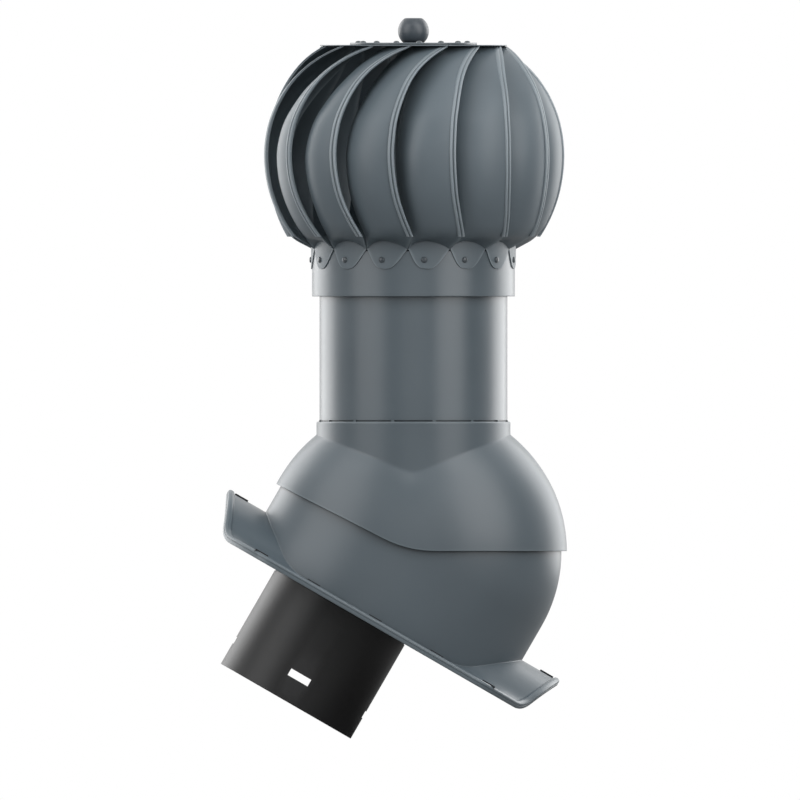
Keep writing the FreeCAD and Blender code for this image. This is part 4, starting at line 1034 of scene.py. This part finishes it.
def hemRows():
    rows = []
    for share in [-0.995] + spread(-0.97, 0.97, vane["hemRows"]) + [0.995]:
        level = vaneLevel(share)
        outer = rotorReach(level)
        sweep = curveThrough(vane["stations"], share)[0]
        hemShare = vane["hemWidth"] / math.radians(vaneStep) / outer
        bladeFall = ((outer - vane["hemStep"] - bladeSpot(share, 1 - hemShare)[0])
                     / (hemShare * vaneStep))
        row = []
        for back, rise in hemSection:
            turn = math.degrees(back / outer)
            row.append(atFront(outer + rise - turn * bladeFall, sweep - turn, level))
        rows.append(row)
    return rows


def flangeShape():
    tip = vane["stations"][-1][1]
    root = tip - vaneStep + 0.4
    outer = rotorReach(vane["top"])
    outline = softened(((vane["flangeInner"], vane["top"], 0), (outer, vane["top"], 0.3),
                        (outer, vane["top"] + vane["wall"], 0.6),
                        (vane["flangeInner"], vane["top"] + vane["wall"], 0.2)))
    return rodShape([[atFront(spot.x, turn, spot.y) for spot in outline]
                     for turn in spread(root, tip, vane["flangeSteps"])])


# A sheet of even thickness from the rows of its outside, grown inwards
def thickened(rows, wall):
    count, columns = len(rows), len(rows[0])
    inner = []
    for i in range(count):
        row = []
        for k in range(columns):
            along = rows[min(i + 1, count - 1)][k] - rows[max(i - 1, 0)][k]
            across = rows[i][min(k + 1, columns - 1)] - rows[i][max(k - 1, 0)]
            normal = across.cross(along).normalized()
            row.append(rows[i][k] - normal * wall)
        inner.append(row)
    outlines = [rows[i] + inner[i][::-1] for i in range(count)]
    return rodShape(outlines)


def makeVanes():
    sheet = thickened(vaneSheetRows(), vane["wall"])
    hem = rodShape(hemRows())
    shape = joinedShapes((hem, sheet, flangeShape()))
    for number in range(vane["count"]):
        turn = Matrix.Rotation(math.radians(vane["phase"] + vaneStep * number), 4, "Z")
        node = "vane_%02d" % (number + 1)
        # The hem faces wear the lighter hem finish, a painted highlight.
        makePiece("vane%02d" % (number + 1), shape, hoodPlace @ turn, "rotor",
                  finish["graphiteVaneLightened"], (node,), sharpAngle=32,
                  second=(finish["hemPaintedHighlight"], len(hem[1])))


makeVanes()
print("vanes made:", vane["count"])


# Top disc, knob and rivets

disc = {"radius": 63.5, "wall": 2.3, "foot": 507.2, "bore": 4.05, "steps": 120}
knob = {"radius": 15.5, "level": 521, "top": 534.1, "stud": 4, "studDepth": 12,
        "steps": 72, "rows": 30}
rivet = {"radius": 3.1, "rise": 1.9, "discRing": 55, "discTurn": 6, "collarTurn": 6,
         "collarLevel": 292.3, "steps": 28}


def makeTopDisc():
    top = disc["foot"] + disc["wall"]
    makePiece("topDisc", lathe((
        (disc["bore"], disc["foot"], 0.2), (disc["radius"], disc["foot"], 0.3),
        (disc["radius"], top, 1.3), (disc["bore"], top, 0.3)), disc["steps"]),
        hoodPlace, "rotor", finish["graphiteSheet"], ("top_disc",))


# A domed head standing on z = 0, with a thin flat brim
def rivetHead(radius, rise):
    outline = [(radius, 0), (radius, 0.3), (radius * 0.97, 0.5)]
    for share in spread(0.12, 1, 7):
        outline.append((radius * 0.95 * math.cos(share * math.pi / 2),
                        0.5 + (rise - 0.5) * math.sin(share * math.pi / 2)))
    outline[-1] = (0.02, rise)
    return turnedShape(outline, rivet["steps"])


def makeRivets():
    head = rivetHead(rivet["radius"], rivet["rise"])
    onDisc, onCollar = [], []
    for number in range(vane["count"]):
        spot = atFront(rivet["discRing"], rivet["discTurn"] + vaneStep * number,
                       disc["foot"] + disc["wall"] - 0.05)
        onDisc.append(movedShape(head, Matrix.Translation(spot)))
        turn = rivet["collarTurn"] + vaneStep * number
        spot = atFront(vane["tabRadius"] - 0.1, turn, rivet["collarLevel"])
        facing = (Matrix.Rotation(math.radians(turn), 4, "Z")
                  @ Matrix.Rotation(math.pi / 2, 4, "X"))
        onCollar.append(movedShape(head, Matrix.Translation(spot) @ facing))
    makePiece("discRivets", joinedShapes(onDisc), hoodPlace, "rotor",
              finish["graphiteRivet"], ("disc_rivets",))
    makePiece("collarRivets", joinedShapes(onCollar), hoodPlace, "rotor",
              finish["graphiteRivet"], ("collar_rivets",))


def makeKnob():
    discTop = disc["foot"] + disc["wall"]
    outline = [(0.02, discTop - knob["studDepth"]), (knob["stud"], discTop - knob["studDepth"]),
               (knob["stud"], discTop)]
    low = discTop - knob["level"]
    high = knob["top"] - knob["level"]
    start = math.asin(low / knob["radius"])
    end = math.asin((high - 0.5) / knob["radius"])
    for turn in spread(start, end, knob["rows"]):
        outline.append((knob["radius"] * math.cos(turn),
                        knob["level"] + knob["radius"] * math.sin(turn)))
    flat = math.sqrt(knob["radius"] ** 2 - high ** 2)
    outline += [(flat - 0.2, knob["top"] - 0.15), (flat - 0.8, knob["top"]), (0.02, knob["top"])]
    makePiece("ballKnob", turnedShape(outline, knob["steps"]), hoodPlace, "rotor",
              finish["darkKnob"], ("ball_knob",))


makeTopDisc()
makeRivets()
makeKnob()
print("top disc, rivets and knob made")


# Flexible bend: corrugated foil between spigot and inner pipe

bend = {"radius": 75.6, "ribRise": 1.4, "ribPitch": 5, "ribSteps": 6, "cuff": 12,
        "tangent": 40, "wall": 0.4, "steps": 96}


def makeFlexDuct():
    pitch = math.radians(roofPitch)
    turnRadius = bend["tangent"] / math.tan(pitch / 2)
    spigotTop = Vector((spigot["offset"], 0, spigot["mouth"] + spigot["length"]))
    hinge = spigotTop - Vector((turnRadius, 0, 0))
    arc = turnRadius * pitch
    whole = arc + 2 * bend["cuff"]
    sections = []
    steps = int(whole / bend["ribPitch"]) * bend["ribSteps"]
    for k in range(steps + 1):
        along = whole * k / steps - bend["cuff"]
        turn = min(max(along, 0), arc) / turnRadius
        straight = min(along, 0) + max(along - arc, 0)
        spot = hinge + Matrix.Rotation(-turn, 4, "Y") @ Vector((turnRadius, 0, straight))
        tilt = Matrix.Translation(spot) @ Matrix.Rotation(-turn, 4, "Y")
        onCuff = straight != 0
        wave = 0 if onCuff else 0.5 - 0.5 * math.cos(2 * math.pi * along / bend["ribPitch"])
        sections.append((tilt, bend["radius"] + bend["ribRise"] * wave))
    rows = []
    for degrees in spread(0, 360, bend["steps"], ends=False):
        outer = [tilt @ polar(radius, degrees, 0) for tilt, radius in sections]
        inner = [tilt @ polar(radius - bend["wall"], degrees, 0) for tilt, radius in sections]
        rows.append(outer + inner[::-1])
    piece = makePiece("flexDuct", ringShape(rows), roofPlace, None, finish["ductFoil"],
                      ("flex_duct",))
    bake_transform(piece)


makeFlexDuct()
print("flexible bend made")


# CAD pieces that keep their shape get their finish

kept = {
    "spigot_carrier": "blackPlastic", "carrier_screws": "zincSteel", "plate_foam": "sealRubber",
    "plate_pads": "blackPad", "hood_seal": "sealRubber", "pivot_pins": "zincSteel",
    "pivot_yoke": "galvanisedSheet", "yoke_screws": "zincSteel",
    "pipe_insulation": "mineralWool", "cross_bracket": "zincSteel",
    "bracket_rivets": "zincSteel", "spindle": "brightSteel", "spindle_spacer": "zincSteel",
    "spindle_nuts": "zincSteel", "lower_inner_ring": "bearingSteel",
    "upper_inner_ring": "bearingSteel", "hub_tube": "zincSteel", "snap_rings": "brightSteel",
    "lower_outer_ring": "bearingSteel", "upper_outer_ring": "bearingSteel",
    "knob_nut": "zincSteel",
}
for node, finishName in kept.items():
    mesh = frame["nodes"][node].data
    mesh.materials.clear()
    mesh.materials.append(finish[finishName])
print("finishes put on", len(kept), "CAD pieces")
